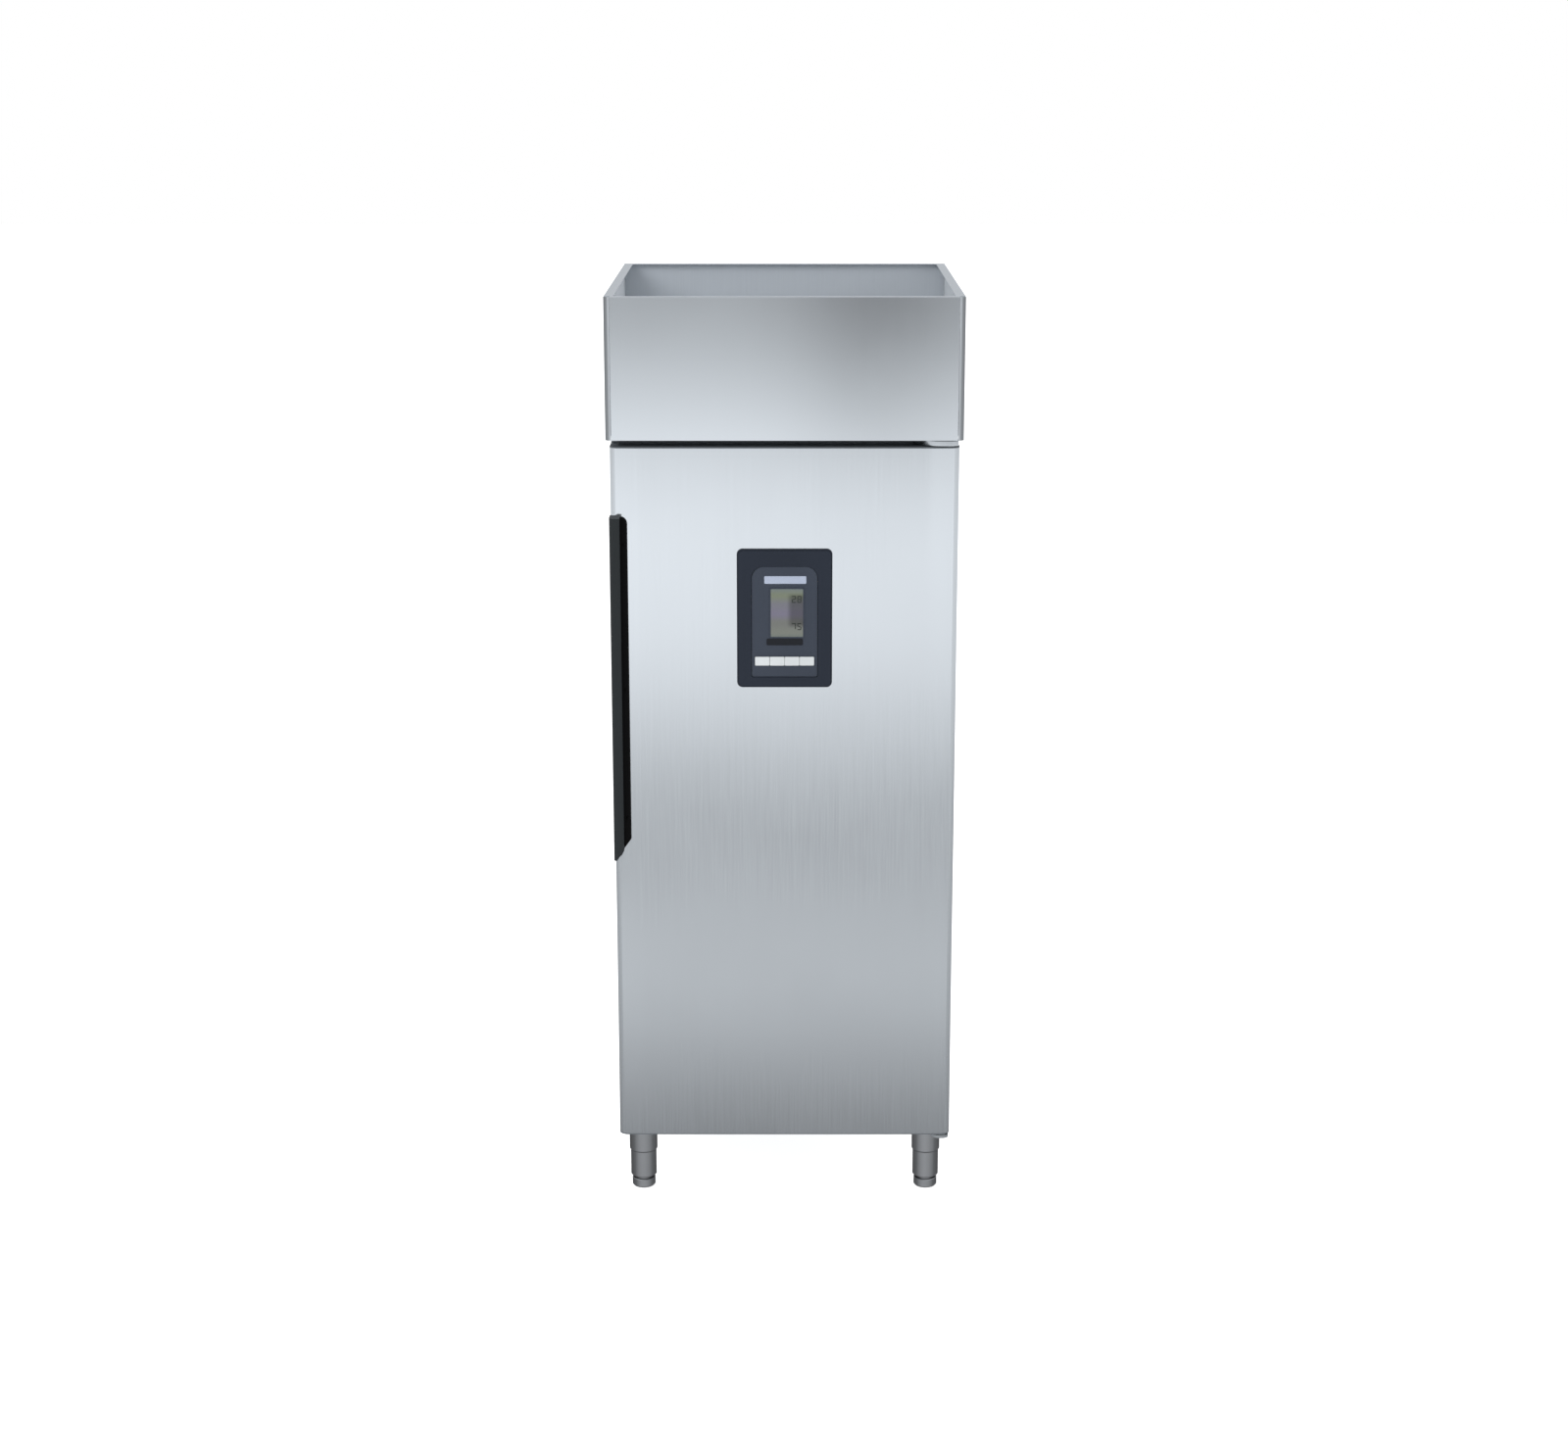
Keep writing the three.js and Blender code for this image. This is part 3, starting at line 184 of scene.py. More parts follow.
def brushed_steel(
    name, grain="z", color=(0.74, 0.76, 0.78), rough=0.16, anisotropy=0.0, streaks=1.0, metal=1.0, edge=None
):
    """Stainless sheet: fine brush lines along one axis, faint broader streaks, and soft handling smears.

    With edge=(start, end, share), the colour and the reflection fall to that share as the surface turns away
    from the eye from start to end, where 0 faces the eye and 1 is seen edge on. This is painted shade, set by
    the view.
    """
    s = Shader(name)
    fine = s.noise(1.0, 3.0, 0.6, s.stretched(GRAIN[grain]))
    broad = s.noise(1.0, 2.0, 0.5, s.stretched(tuple(0.1 * c for c in GRAIN[grain]), (3, 5, 7)))
    smear = s.noise(3.0, 3.0, 0.55)
    contrast = 0.03 * streaks
    tint = s.math("MULTIPLY", s.spread(fine, 1 - contrast, 1 + contrast), s.spread(broad, 0.995, 1.005))
    tint = s.math("MULTIPLY", tint, s.spread(smear, 0.99, 1.01))
    # painted shade: colour and reflection darken as the surface turns from the eye
    if edge:
        start, end, grazing_shade_share = edge
        facing = s.node("ShaderNodeLayerWeight", blend=0.5).outputs["Facing"]
        share = s.carried(facing, start, end, 1.0, grazing_shade_share)
        tint = s.math("MULTIPLY", tint, share)
        s.look(specular_tint=s.scaled((1, 1, 1), share))
    s.look(base_color=s.scaled(color, tint), metallic=metal)
    wander = 0.02 * min(streaks, 1)
    roughness = s.math("ADD", s.spread(fine, rough - wander, rough + wander), s.spread(smear, -0.015, 0.015))
    s.look(roughness=roughness)
    if anisotropy:
        s.look(anisotropic=anisotropy)
        tangent = s.node("ShaderNodeTangent", {"direction_type": "RADIAL", "axis": "Z"})
        s.look(tangent=tangent.outputs[0])
    s.bump(fine, 0.00001, 0.3 * streaks)
    return s.material


def moulded_plastic(name, color, rough, grain_size=0.0006, grain_depth=0.00004, sheen=0.25):
    """Moulded plastic: spark-eroded texture, faint flow marks and slightly rubbed high spots."""
    s = Shader(name)
    texture = s.noise(1 / grain_size, 2.0, 0.6)
    flow = s.noise(9.0, 3.0, 0.5, s.stretched((1, 1, 0.35)))
    s.look(base_color=s.scaled(color[:3], s.spread(flow, 0.93, 1.07)))
    roughness = s.math("ADD", s.spread(flow, rough - 0.05, rough + 0.05), s.spread(texture, -0.04, 0.04))
    s.look(roughness=roughness, specular_ior_level=sheen)
    s.bump(texture, grain_depth, 0.6)
    return s.material


def zinc_plate(name):
    """Zinc-plated steel: mottled bluish spangle, uneven sheen."""
    s = Shader(name)
    cells = s.node("ShaderNodeTexVoronoi", vector=s.place, scale=160.0).outputs["Distance"]
    cloud = s.noise(22.0, 4.0, 0.6)
    darker, paler = (0.50, 0.53, 0.56, 1), (0.62, 0.64, 0.65, 1)
    s.look(base_color=s.mixed(s.spread(cloud, 0, 1), darker, paler), metallic=1.0)
    s.look(roughness=s.math("ADD", s.spread(cloud, 0.3, 0.44), s.spread(cells, -0.04, 0.05)))
    s.bump(cells, 0.00003, 0.4)
    return s.material


def chrome_wire(name):
    """Chromed wire with a slight haze."""
    s = Shader(name)
    haze = s.noise(60.0, 3.0, 0.5)
    darker, paler = (0.70, 0.71, 0.73, 1), (0.80, 0.81, 0.82, 1)
    s.look(base_color=s.mixed(s.spread(haze, 0, 1), darker, paler), metallic=1.0)
    s.look(roughness=s.spread(haze, 0.1, 0.2))
    s.bump(s.noise(500.0), 0.00002, 0.3)
    return s.material


def rubber(name, color):
    """Soft seal or hose: matt with a pale bloom and fine pores."""
    s = Shader(name)
    bloom = s.noise(35.0, 4.0, 0.6)
    s.look(base_color=s.scaled(color[:3], s.spread(bloom, 0.85, 1.15)))
    s.look(roughness=s.spread(bloom, 0.62, 0.8))
    s.bump(s.noise(1500.0), 0.00003, 0.5)
    return s.material


def foam(name):
    """Cut polyurethane foam with open cells."""
    s = Shader(name)
    cells = s.node("ShaderNodeTexVoronoi", vector=s.place, scale=700.0).outputs["Distance"]
    darker, paler = rgb(205, 186, 128), rgb(224, 209, 160)
    s.look(base_color=s.mixed(s.spread(s.noise(30.0), 0, 1), darker, paler), roughness=0.9)
    s.bump(cells, 0.0004, 0.8)
    return s.material


def circuit_green(name):
    """Solder mask with paler tracks in a square pattern."""
    s = Shader(name)
    colors = {"color1": rgb(20, 78, 48), "color2": rgb(28, 92, 56), "mortar": rgb(62, 128, 84)}
    brick = s.node("ShaderNodeTexBrick", vector=s.place, scale=90.0, mortar_size=0.06, **colors)
    s.look(base_color=brick.outputs["Color"])
    s.look(roughness=s.spread(s.noise(120.0), 0.3, 0.45))
    return s.material


def display_glass(name, low, high):
    """Backlit panel: greyish green at the top and bottom, lilac in the middle, dimmer behind the digits."""
    s = Shader(name)
    parts = s.node("ShaderNodeSeparateXYZ", vector=s.place).outputs
    stops = [
        (0.0, rgb(118, 126, 120)),
        (0.1, rgb(128, 132, 124)),
        (0.3, rgb(122, 124, 120)),
        (0.48, rgb(126, 122, 142)),
        (0.66, rgb(124, 124, 134)),
        (0.86, rgb(126, 134, 114)),
        (1.0, rgb(120, 130, 128)),
    ]
    upwards = s.ramp(s.carried(parts[2], low.z, high.z, 0, 1), stops, "EASE")
    middle = (low.x + high.x) / 2
    rightwards = s.carried(parts[0], middle - 3 * MM, middle + 12 * MM, 0, 1, "SMOOTHSTEP")
    above = s.carried(parts[2], low.z + 18 * MM, low.z + 30 * MM, 0, 1, "SMOOTHSTEP")
    below = s.carried(parts[2], high.z - 20 * MM, high.z - 8 * MM, 1, 0, "SMOOTHSTEP")
    digits_field = s.math("MULTIPLY", rightwards, s.math("MULTIPLY", above, below))
    color = s.scaled(upwards, s.carried(digits_field, 0, 1, 0.42, 0.19))
    s.look(base_color=color, emission_color=color, emission_strength=0.3)
    s.look(roughness=s.spread(s.noise(40.0), 0.12, 0.2))
    return s.material


STEEL_UPRIGHT = brushed_steel("steel_upright", rough=0.13, anisotropy=0.3)
# painted shade for the door's rounded front edges, darker as they turn from the eye
STEEL_DOOR_EDGE_SHADE = brushed_steel("steel_door_edge_shade", rough=0.2, edge=(0.1, 0.4, 0.94))
STEEL_COLLAR = brushed_steel("steel_collar", rough=0.08, streaks=0.2)
STEEL_BRACKET = brushed_steel("steel_bracket", "x", color=(0.66, 0.68, 0.70), rough=0.2, streaks=0.2)
STEEL_HEM = brushed_steel("steel_hem", "x", color=(0.55, 0.57, 0.60), rough=0.25, streaks=0.2)
# painted shade for the collar's rounded front corners, darker as they turn from the eye
STEEL_FOLD_SHADE = brushed_steel("steel_fold_shade", color=(0.72, 0.74, 0.76), rough=0.3, edge=(0.02, 0.14, 0.5))
# painted light: duller, partly diffuse steel for the collar's inside faces, set lighter than their
# reflections make them
STEEL_INSIDE_LIGHTENED = brushed_steel("steel_inside_lightened", color=(0.495, 0.53, 0.57), rough=0.4, metal=0.35)
# painted light: copies for the side walls' inside faces, the left one lighter because the key lamp misses it
STEEL_CHEEK_LIGHTENED = {
    "left": brushed_steel("steel_cheek_left_lightened", color=(0.80, 0.83, 0.87), rough=0.4, metal=0.1),
    "right": brushed_steel("steel_cheek_right_lightened", color=(0.62, 0.65, 0.68), rough=0.4, metal=0.2),
}
STEEL_DEEP = brushed_steel("steel_deep", "y", rough=0.26)
STEEL_LINER = brushed_steel("steel_liner", color=(0.76, 0.77, 0.78), rough=0.28, anisotropy=0.3, streaks=0.7)
# painted shade: the legs and feet darken towards their sides as they turn from the eye
STEEL_LEG = brushed_steel("steel_leg", color=(0.60, 0.60, 0.61), rough=0.3, edge=(0.02, 0.32, 0.45))
ZINC = zinc_plate("zinc_plate")
CHROME = chrome_wire("chrome_wire")
SHEATH = brushed_steel("heater_sheath", color=(0.42, 0.38, 0.35), rough=0.38)
BLACK_PLASTIC = moulded_plastic("black_plastic", rgb(28, 32, 34), 0.5)
# painted shade: near-black plastic for the handle's finger recess, where the grip shades it
RECESS_SHADE_PLASTIC = moulded_plastic("recess_shade_plastic", rgb(8, 8, 9), 0.6, sheen=0.1)
BEZEL_PLASTIC = moulded_plastic("bezel_plastic", rgb(26, 32, 43), 0.42)
# painted shade: darker plastic for the bezel's rounded rim
BEZEL_RIM_SHADE = moulded_plastic("bezel_rim_shade", rgb(20, 25, 35), 0.45)
MODULE_PLASTIC = moulded_plastic("module_plastic", rgb(46, 52, 63), 0.42)
STRIP_PLASTIC = moulded_plastic("strip_plastic", rgb(18, 20, 26), 0.3)
GREY_PLASTIC = moulded_plastic("grey_plastic", rgb(86, 91, 96), 0.5)
WHITE_PLASTIC = moulded_plastic("white_plastic", rgb(174, 178, 180), 0.35, grain_depth=0.00002)
BADGE = moulded_plastic("badge_plate", rgb(143, 151, 168), 0.3, grain_depth=0.00001)
SEGMENTS = moulded_plastic("display_segments", rgb(16, 24, 18), 0.5)
GASKET = rubber("gasket_rubber", rgb(62, 65, 68))
HOSE = rubber("hose_rubber", rgb(120, 122, 120))
CABLE = rubber("cable_rubber", rgb(30, 32, 34))
FOAM = foam("foam")
BOARD = circuit_green("circuit_green")
DISPLAY = display_glass("display_glass", *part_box("display_window"))

SLOT_LOOK = {
    "stainless": STEEL_UPRIGHT,
    "liner_steel": STEEL_LINER,
    "chrome_wire": CHROME,
    "zinc_steel": ZINC,
    "sheath": SHEATH,
    "foam": FOAM,
    "black_plastic": BLACK_PLASTIC,
    "bezel_plastic": BEZEL_PLASTIC,
    "module_plastic": MODULE_PLASTIC,
    "grey_plastic": GREY_PLASTIC,
    "gasket_rubber": GASKET,
    "white_plastic": WHITE_PLASTIC,
    "lens": DISPLAY,
    "board": BOARD,
}


# -------- mesh building
def finish_mesh(mesh, material, sharp_degrees):
    mesh.polygons.foreach_set("use_smooth", [True] * len(mesh.polygons))
    mesh.set_sharp_from_angle(angle=math.radians(sharp_degrees))
    mesh.materials.append(material)


def link_piece(name, mesh, body):
    """A new piece in the scene that rides on a body."""
    piece = bpy.data.objects.new(name, mesh)
    bpy.context.scene.collection.objects.link(piece)
    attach(piece, body)
    return piece


def new_piece(name, bm, material, body, sharp_degrees=35):
    bmesh.ops.recalc_face_normals(bm, faces=bm.faces)
    mesh = bpy.data.meshes.new(name)
    bm.to_mesh(mesh)
    bm.free()
    finish_mesh(mesh, material, sharp_degrees)
    piece = link_piece(name, mesh, body)
    weighted = piece.modifiers.new("weighted", "WEIGHTED_NORMAL")
    weighted.keep_sharp = True
    return piece


def look_of(node):
    return SLOT_LOOK[SLOT_OF[node]]


def take_place(node):
    """Shows a piece in place of a CAD node."""
    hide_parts(node)
    DONE.add(node)


def stand_in(node, bm, material=None, sharp_degrees=35):
    """A new piece that takes the place of a CAD node."""
    material = material or look_of(node)
    piece = new_piece(node + "_finished", bm, material, BODY_OF[node], sharp_degrees)
    take_place(node)
    return piece


def bevel_edges(bm, width, segments, degrees=35, rear=math.inf):
    """Softens every edge that turns by more than the given angle and has a point in front of y = rear."""
    limit = math.radians(degrees)
    edges = [
        e
        for e in bm.edges
        if len(e.link_faces) == 2 and e.calc_face_angle(0) > limit and min(v.co.y for v in e.verts) < rear
    ]
    bmesh.ops.bevel(
        bm,
        geom=edges,
        offset=width,
        offset_type="OFFSET",
        segments=segments,
        profile=0.5,
        affect="EDGES",
        clamp_overlap=True,
    )


def finished_copy(node, material=None, bevel=0.4 * MM, segments=2, rear=math.inf):
    """Stands in for a CAD node: the same shape with merged flat faces and softened edges."""
    bm = bmesh.new()
    bm.from_mesh(NODES[node].data)
    bmesh.ops.remove_doubles(bm, verts=bm.verts, dist=0.002 * MM)
    bmesh.ops.dissolve_limit(bm, angle_limit=math.radians(0.5), verts=bm.verts, edges=bm.edges)
    bevel_edges(bm, bevel, segments, rear=rear)
    return stand_in(node, bm, material)


def paint(piece, material, wanted):
    """Gives a second material to the faces for which wanted(centre, normal) is true."""
    piece.data.materials.append(material)
    index = len(piece.data.materials) - 1
    for polygon in piece.data.polygons:
        if wanted(polygon.center, polygon.normal):
            polygon.material_index = index


def looks_along(piece, axis, wanted):
    """Whether the faces that wanted(centre) picks look along an axis (0, 1 or 2) on the whole."""
    return sum(p.normal[axis] * p.area for p in piece.data.polygons if wanted(p.center)) > 0


def thicken(piece, thickness, inwards):
    """Makes a surface into sheet metal. With inwards, the sheet grows against the surface's normals."""
    sheet = piece.modifiers.new("sheet", "SOLIDIFY")
    sheet.thickness = thickness
    sheet.offset = -1.0 if inwards else 1.0
    piece.modifiers.move(1, 0)


def add_loft(bm, loops, closed=False, cap=True):
    """Joins loops of equally many points one after another, and fills the first and last ones."""
    rows = [[bm.verts.new(point) for point in loop] for loop in loops]
    pairs = list(zip(rows, rows[1:]))
    if closed:
        pairs.append((rows[-1], rows[0]))
    count = len(rows[0])
    for a, b in pairs:
        for i in range(count):
            j = (i + 1) % count
            bm.faces.new((a[i], a[j], b[j], b[i]))
    if cap and not closed:
        bm.faces.new(rows[0])
        bm.faces.new(rows[-1])


def add_turned(bm, profile, matrix, sides=48):
    """A turned solid from (radius, height) points, its axis along the matrix's z."""
    angles = [2 * math.pi * i / sides for i in range(sides)]
    loops = [[matrix @ Vector((r * math.cos(a), r * math.sin(a), h)) for a in angles] for r, h in profile]
    add_loft(bm, loops)


def in_mm(pairs):
    return [(a * MM, b * MM) for a, b in pairs]


def aimed(point, direction=(0, 0, 1)):
    """A matrix that stands at a point with its z along a direction."""
    turn = Vector(direction).to_track_quat("Z", "Y").to_matrix().to_4x4()
    return Matrix.Translation(Vector(point)) @ turn


def add_block(bm, low, high):
    size = Vector(high) - Vector(low)
    middle = (Vector(low) + Vector(high)) / 2
    bmesh.ops.create_cube(bm, size=1, matrix=Matrix.Translation(middle) @ Matrix.Diagonal((*size, 1)))


def rounded_loop(x0, x1, z0, z1, radius, y, steps=6):
    """A rounded rectangle that faces the front."""
    radius = max(radius, 0.01 * MM)
    corners = ((x1, z0, -90), (x1, z1, 0), (x0, z1, 90), (x0, z0, 180))
    points = []
    for x, z, start in corners:
        cx = x - math.copysign(radius, x - (x0 + x1) / 2)
        cz = z - math.copysign(radius, z - (z0 + z1) / 2)
        for i in range(steps + 1):
            angle = math.radians(start + 90 * i / steps)
            points.append(Vector((cx + radius * math.cos(angle), y, cz + radius * math.sin(angle))))
    return points


def inset_loops(x0, x1, z0, z1, radius, steps):
    """Rounded rectangles, each moved inwards by its inset, from (inset, y) steps."""
    return [
        rounded_loop(x0 + inset, x1 - inset, z0 + inset, z1 - inset, radius - inset, y) for inset, y in steps
    ]


def filleted(points, radius, steps=6):
    """A polyline with its corners rounded off."""
    points = [Vector(p) for p in points]
    path = [points[0]]
    for before, corner, after in zip(points, points[1:], points[2:]):
        reach = min(radius, (before - corner).length / 2, (after - corner).length / 2)
        start = corner + (before - corner).normalized() * reach
        end = corner + (after - corner).normalized() * reach
        for i in range(steps + 1):
            t = i / steps
            path.append(start * (1 - t) ** 2 + corner * 2 * t * (1 - t) + end * t**2)
    path.append(points[-1])
    return path


def wire_mesh(name, paths, resolution=4):
    """Round bars along paths of (points, radius, cyclic), as one mesh."""
    curve = bpy.data.curves.new(name, "CURVE")
    curve.dimensions = "3D"
    curve.bevel_depth = MM
    curve.bevel_resolution = resolution
    curve.use_fill_caps = True
    for points, radius, cyclic in paths:
        spline = curve.splines.new("POLY")
        spline.points.add(len(points) - 1)
        for target, point in zip(spline.points, points):
            target.co = (*point, 1)
            target.radius = radius / MM
        spline.use_cyclic_u = cyclic
    holder = bpy.data.objects.new(name, curve)
    bpy.context.scene.collection.objects.link(holder)
    evaluated = holder.evaluated_get(bpy.context.evaluated_depsgraph_get())
    mesh = bpy.data.meshes.new_from_object(evaluated)
    bpy.data.objects.remove(holder)
    return mesh


def wire_stand_in(node, paths, material=None):
    mesh = wire_mesh(node, paths)
    mesh.materials.clear()
    finish_mesh(mesh, material or look_of(node), 50)
    piece = link_piece(node + "_finished", mesh, BODY_OF[node])
    take_place(node)


def screws(name, places, body, radius=4 * MM, material=None):
    """Socket-head screws at (point, direction) places."""
    bm = bmesh.new()
    height = 0.55 * radius
    profile = [
        (radius, 0),
        (radius, 0.35 * height),
        (0.86 * radius, 0.8 * height),
        (0.5 * radius, height),
        (0.42 * radius, height),
        (0.4 * radius, 0.4 * height),
    ]
    for point, direction in places:
        add_turned(bm, profile, aimed(point, direction), 18)
    new_piece(name, bm, material or ZINC, body)


def ring_of_four(centre, radius, z, direction):
    """Places for four screws, on the diagonals round a vertical axis."""
    places = []
    for i in range(4):
        angle = math.pi * (0.25 + 0.5 * i)
        point = (centre.x + radius * math.cos(angle), centre.y + radius * math.sin(angle), z)
        places.append((point, direction))
    return places


# -------- collar round the service deck
SHEET_BEVEL = 0.35 * MM  # softening of a cut sheet's edges


def build_collar():
    """Polished outside, duller on the hem; painted light on the inside faces, and painted shade down each
    front corner fold.
    """
    low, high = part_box("fascia_panel")
    sheet_rear = low.y + 5 * MM
    corner_rear = low.y + 12 * MM
    rim = high.z - 0.3 * MM

    def is_hem(centre, normal):
        return normal.z > 0.3 and centre.z > rim

    def is_shaded_fold(centre, normal):
        return centre.y < corner_rear and normal.y < 0 and abs(normal.z) < 0.5

    fascia = finished_copy("fascia_panel", STEEL_COLLAR, SHEET_BEVEL)
    # painted light on the fascia's inside face
    paint(fascia, STEEL_INSIDE_LIGHTENED, lambda centre, normal: normal.y > 0.5 and centre.y < sheet_rear)
    paint(fascia, STEEL_HEM, is_hem)
    back = finished_copy("collar_back", STEEL_COLLAR, SHEET_BEVEL)
    # painted light on the back's inside face
    paint(back, STEEL_INSIDE_LIGHTENED, lambda centre, normal: normal.y < -0.5)
    paint(back, STEEL_HEM, is_hem)
    for side, outward in (("left", -1), ("right", 1)):
        panel = finished_copy(f"collar_side_{side}", STEEL_COLLAR, SHEET_BEVEL)
        # painted light on the side wall's inside face, more on the left wall
        paint(panel, STEEL_CHEEK_LIGHTENED[side], lambda centre, normal: normal.x * outward < -0.5)
        paint(panel, STEEL_HEM, is_hem)
        # painted shade down the rounded front corner
        paint(panel, STEEL_FOLD_SHADE, is_shaded_fold)


# -------- body sheets
def build_body():
    """The outer sheets, and the screws that hold the back panel and the collar's back."""
    for node in ("side_panel_left", "side_panel_right", "back_panel"):
        finished_copy(node, STEEL_UPRIGHT, SHEET_BEVEL)
    for node in ("base_pan", "roof_panel"):
        finished_copy(node, STEEL_DEEP, SHEET_BEVEL)
    rearwards = (0, 1, 0)
    low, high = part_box("back_panel")
    margin = 14 * MM
    rows = 5
    places = []
    for i in range(rows):
        z = low.z + margin + (high.z - low.z - 2 * margin) * i / (rows - 1)
        places += [((x, high.y, z), rearwards) for x in (low.x + margin, high.x - margin)]
    places += [((0, high.y, z), rearwards) for z in (low.z + margin, high.z - margin)]
    screws("screws_back_panel", places, "cabinet")
    low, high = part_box("collar_back")
    columns = (low.x + 10 * MM, high.x - 10 * MM)
    heights = (low.z + 40 * MM, high.z - 40 * MM)
    places = [((x, high.y, z), rearwards) for x in columns for z in heights]
    screws("screws_collar_back", places, "cabinet")


# -------- legs
def build_leg(place):
    """Turned leg with its socket, and a foot on a threaded stem."""
    leg, foot = f"leg_{place}", f"foot_{place}"
    low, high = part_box(leg)
    middle = (low + high) / 2
    axis = Matrix.Translation((middle.x, middle.y, 0))
    flange = (high.x - low.x) / 2
    tube = flange - 3.6 * MM
    socket = flange - 1.1 * MM
    socket_bottom = 92 * MM
    thread_hole = 9.2 * MM
    profile = [
        (thread_hole, low.z + 2 * MM),
        (thread_hole, low.z),
        (tube - 2 * MM, low.z),
        (tube, low.z + 2 * MM),
        (tube, socket_bottom - 3 * MM),
        (socket, socket_bottom),
        (socket, high.z - 6 * MM),
        (flange, high.z - 5.5 * MM),
        (flange, high.z),
    ]
    bm = bmesh.new()
    add_turned(bm, profile, axis, 64)
    bevel_edges(bm, 0.5 * MM, 2, 30)
    # painted shade towards the sides, from STEEL_LEG
    stand_in(leg, bm, STEEL_LEG)

    low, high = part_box(foot)
    radius = (high.x - low.x) / 2
    shoulder = low.z + 27 * MM
    neck = radius - 5 * MM
    crest, root = 8.9 * MM, 7.9 * MM
    pitch = 2 * MM
    profile = [
        (radius - 8 * MM, low.z),
        (radius - 2.5 * MM, low.z + 2 * MM),
        (radius, low.z + 5 * MM),
        (radius, shoulder - 6 * MM),
        (radius - 1 * MM, shoulder - 5 * MM),
        (neck, shoulder - 4.5 * MM),
        (neck, shoulder - 0.5 * MM),
        (neck - 1 * MM, shoulder),
        (crest, shoulder),
    ]
    for i in range(int((high.z - shoulder) / pitch)):
        z = shoulder + pitch * i
        profile += [(crest, z + 0.3 * MM), (root, z + 1.1 * MM), (crest, z + 1.9 * MM)]
    profile.append((8.0 * MM, high.z))
    bm = bmesh.new()
    add_turned(bm, profile, axis, 48)
    # painted shade towards the sides, from STEEL_LEG
    stand_in(foot, bm, STEEL_LEG)


# -------- door
def build_door_skin():
    """Folded door sheet: round front edges, and a face whose outer bands fall back a little."""
    node = "door_outer_skin"
    low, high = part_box(node)
    cut_low, cut_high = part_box("display_module")
    room = 1.5 * MM
    radius = 20 * MM
    band = 64 * MM
    drop = 0.9 * MM
    turn = math.atan2(drop, band)
    half, rear = high.x, high.y
    lip = 12 * MM
    right = [(0, low.y), (cut_high.x + room, low.y)]
    bend = half - band
    reach = 8 * MM  # of the soft bend into the band, to either side
    bend_steps = 4
    for i in range(bend_steps + 1):
        t = i / bend_steps
        right.append((bend - reach + 2 * reach * t, low.y + reach * math.tan(turn) * t**2))
    centre = Vector((half - radius, low.y + drop + radius))
    arc_steps = 14
    for i in range(arc_steps + 1):
        angle = -math.pi / 2 + turn + (math.pi / 2 - turn) * i / arc_steps
        right.append((centre.x + radius * math.cos(angle), centre.y + radius * math.sin(angle)))
    right += [
        (half, rear - 1 * MM),
        (half - 0.3 * MM, rear - 0.3 * MM),
        (half - 1 * MM, rear),
        (half - lip, rear),
    ]
    path = [(-x, y) for x, y in reversed(right[1:])] + right
    heights = [low.z, cut_low.z - room, cut_high.z + room, high.z]
    bm = bmesh.new()
    rows = [[bm.verts.new((x, y, z)) for x, y in path] for z in heights]
    for row, (below, above) in enumerate(zip(rows, rows[1:])):
        for i in range(len(path) - 1):
            in_hole = row == 1 and abs(path[i][0] + path[i + 1][0]) / 2 < cut_high.x
            if not in_hole:
                bm.faces.new((below[i], below[i + 1], above[i + 1], above[i]))
    skin = stand_in(node, bm)
    # painted shade on the rounded front edges, darker as they turn from the eye
    paint(skin, STEEL_DOOR_EDGE_SHADE, lambda centre, normal: abs(normal.x) > 0.45 and centre.y < low.y + radius)
    face_looks_back = looks_along(skin, 1, lambda centre: centre.y < low.y + 5 * MM)
    thicken(skin, 1 * MM, inwards=not face_looks_back)


def trim_foam(plane, field):
    """The door's foam, drawn in where it fills the raised field so that it stays behind the sloping sheet."""
    node = "door_insulation"
    bm = bmesh.new()
    bm.from_mesh(NODES[node].data)
    middle = (field["z0"] + field["z1"]) / 2
    base_inset, top_inset = 9 * MM, 14 * MM
    for vertex in bm.verts:
        x, y, z = vertex.co
        if y > plane - 1 * MM and abs(x) < field["x"] and field["z0"] < z < field["z1"]:
            inset = top_inset if y > plane + 5 * MM else base_inset
            vertex.co.x -= math.copysign(inset, x)
            vertex.co.z -= math.copysign(inset, z - middle)
    stand_in(node, bm)


def build_inner_skin():
    """Pressed inner sheet of the door with a raised field."""
    node = "door_inner_skin"
    low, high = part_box(node)
    rim = low.y + 1 * MM
    rise = high.y - rim
    field = {"x": 300 * MM, "z0": 232 * MM, "z1": 1662 * MM}
    loops = [
        rounded_loop(low.x, high.x, low.z, high.z, 1 * MM, rim),
        rounded_loop(-field["x"], field["x"], field["z0"], field["z1"], 22 * MM, rim),
    ]
    slope = [(0.6, 0.05), (2.2, 0.35), (4.2, 0.72), (6.2, 0.93)]
    top = [(9.5, 1.0), (24, 1.0), (26, 0.93), (90, 0.93)]
    for inset, share in slope + top:  # millimetres inwards, and share of the rise
        x = field["x"] - inset * MM
        z0, z1 = field["z0"] + inset * MM, field["z1"] - inset * MM
        radius = max(22 - inset, 6) * MM
        loops.append(rounded_loop(-x, x, z0, z1, radius, rim + share * rise))
    bm = bmesh.new()
    add_loft(bm, loops, cap=False)
    bm.verts.ensure_lookup_table()
    bm.faces.new(bm.verts[-len(loops[-1]):])
    skin = stand_in(node, bm, STEEL_LINER)
    trim_foam(low.y, field)
    thicken(skin, 0.9 * MM, inwards=looks_along(skin, 1, lambda centre: True))


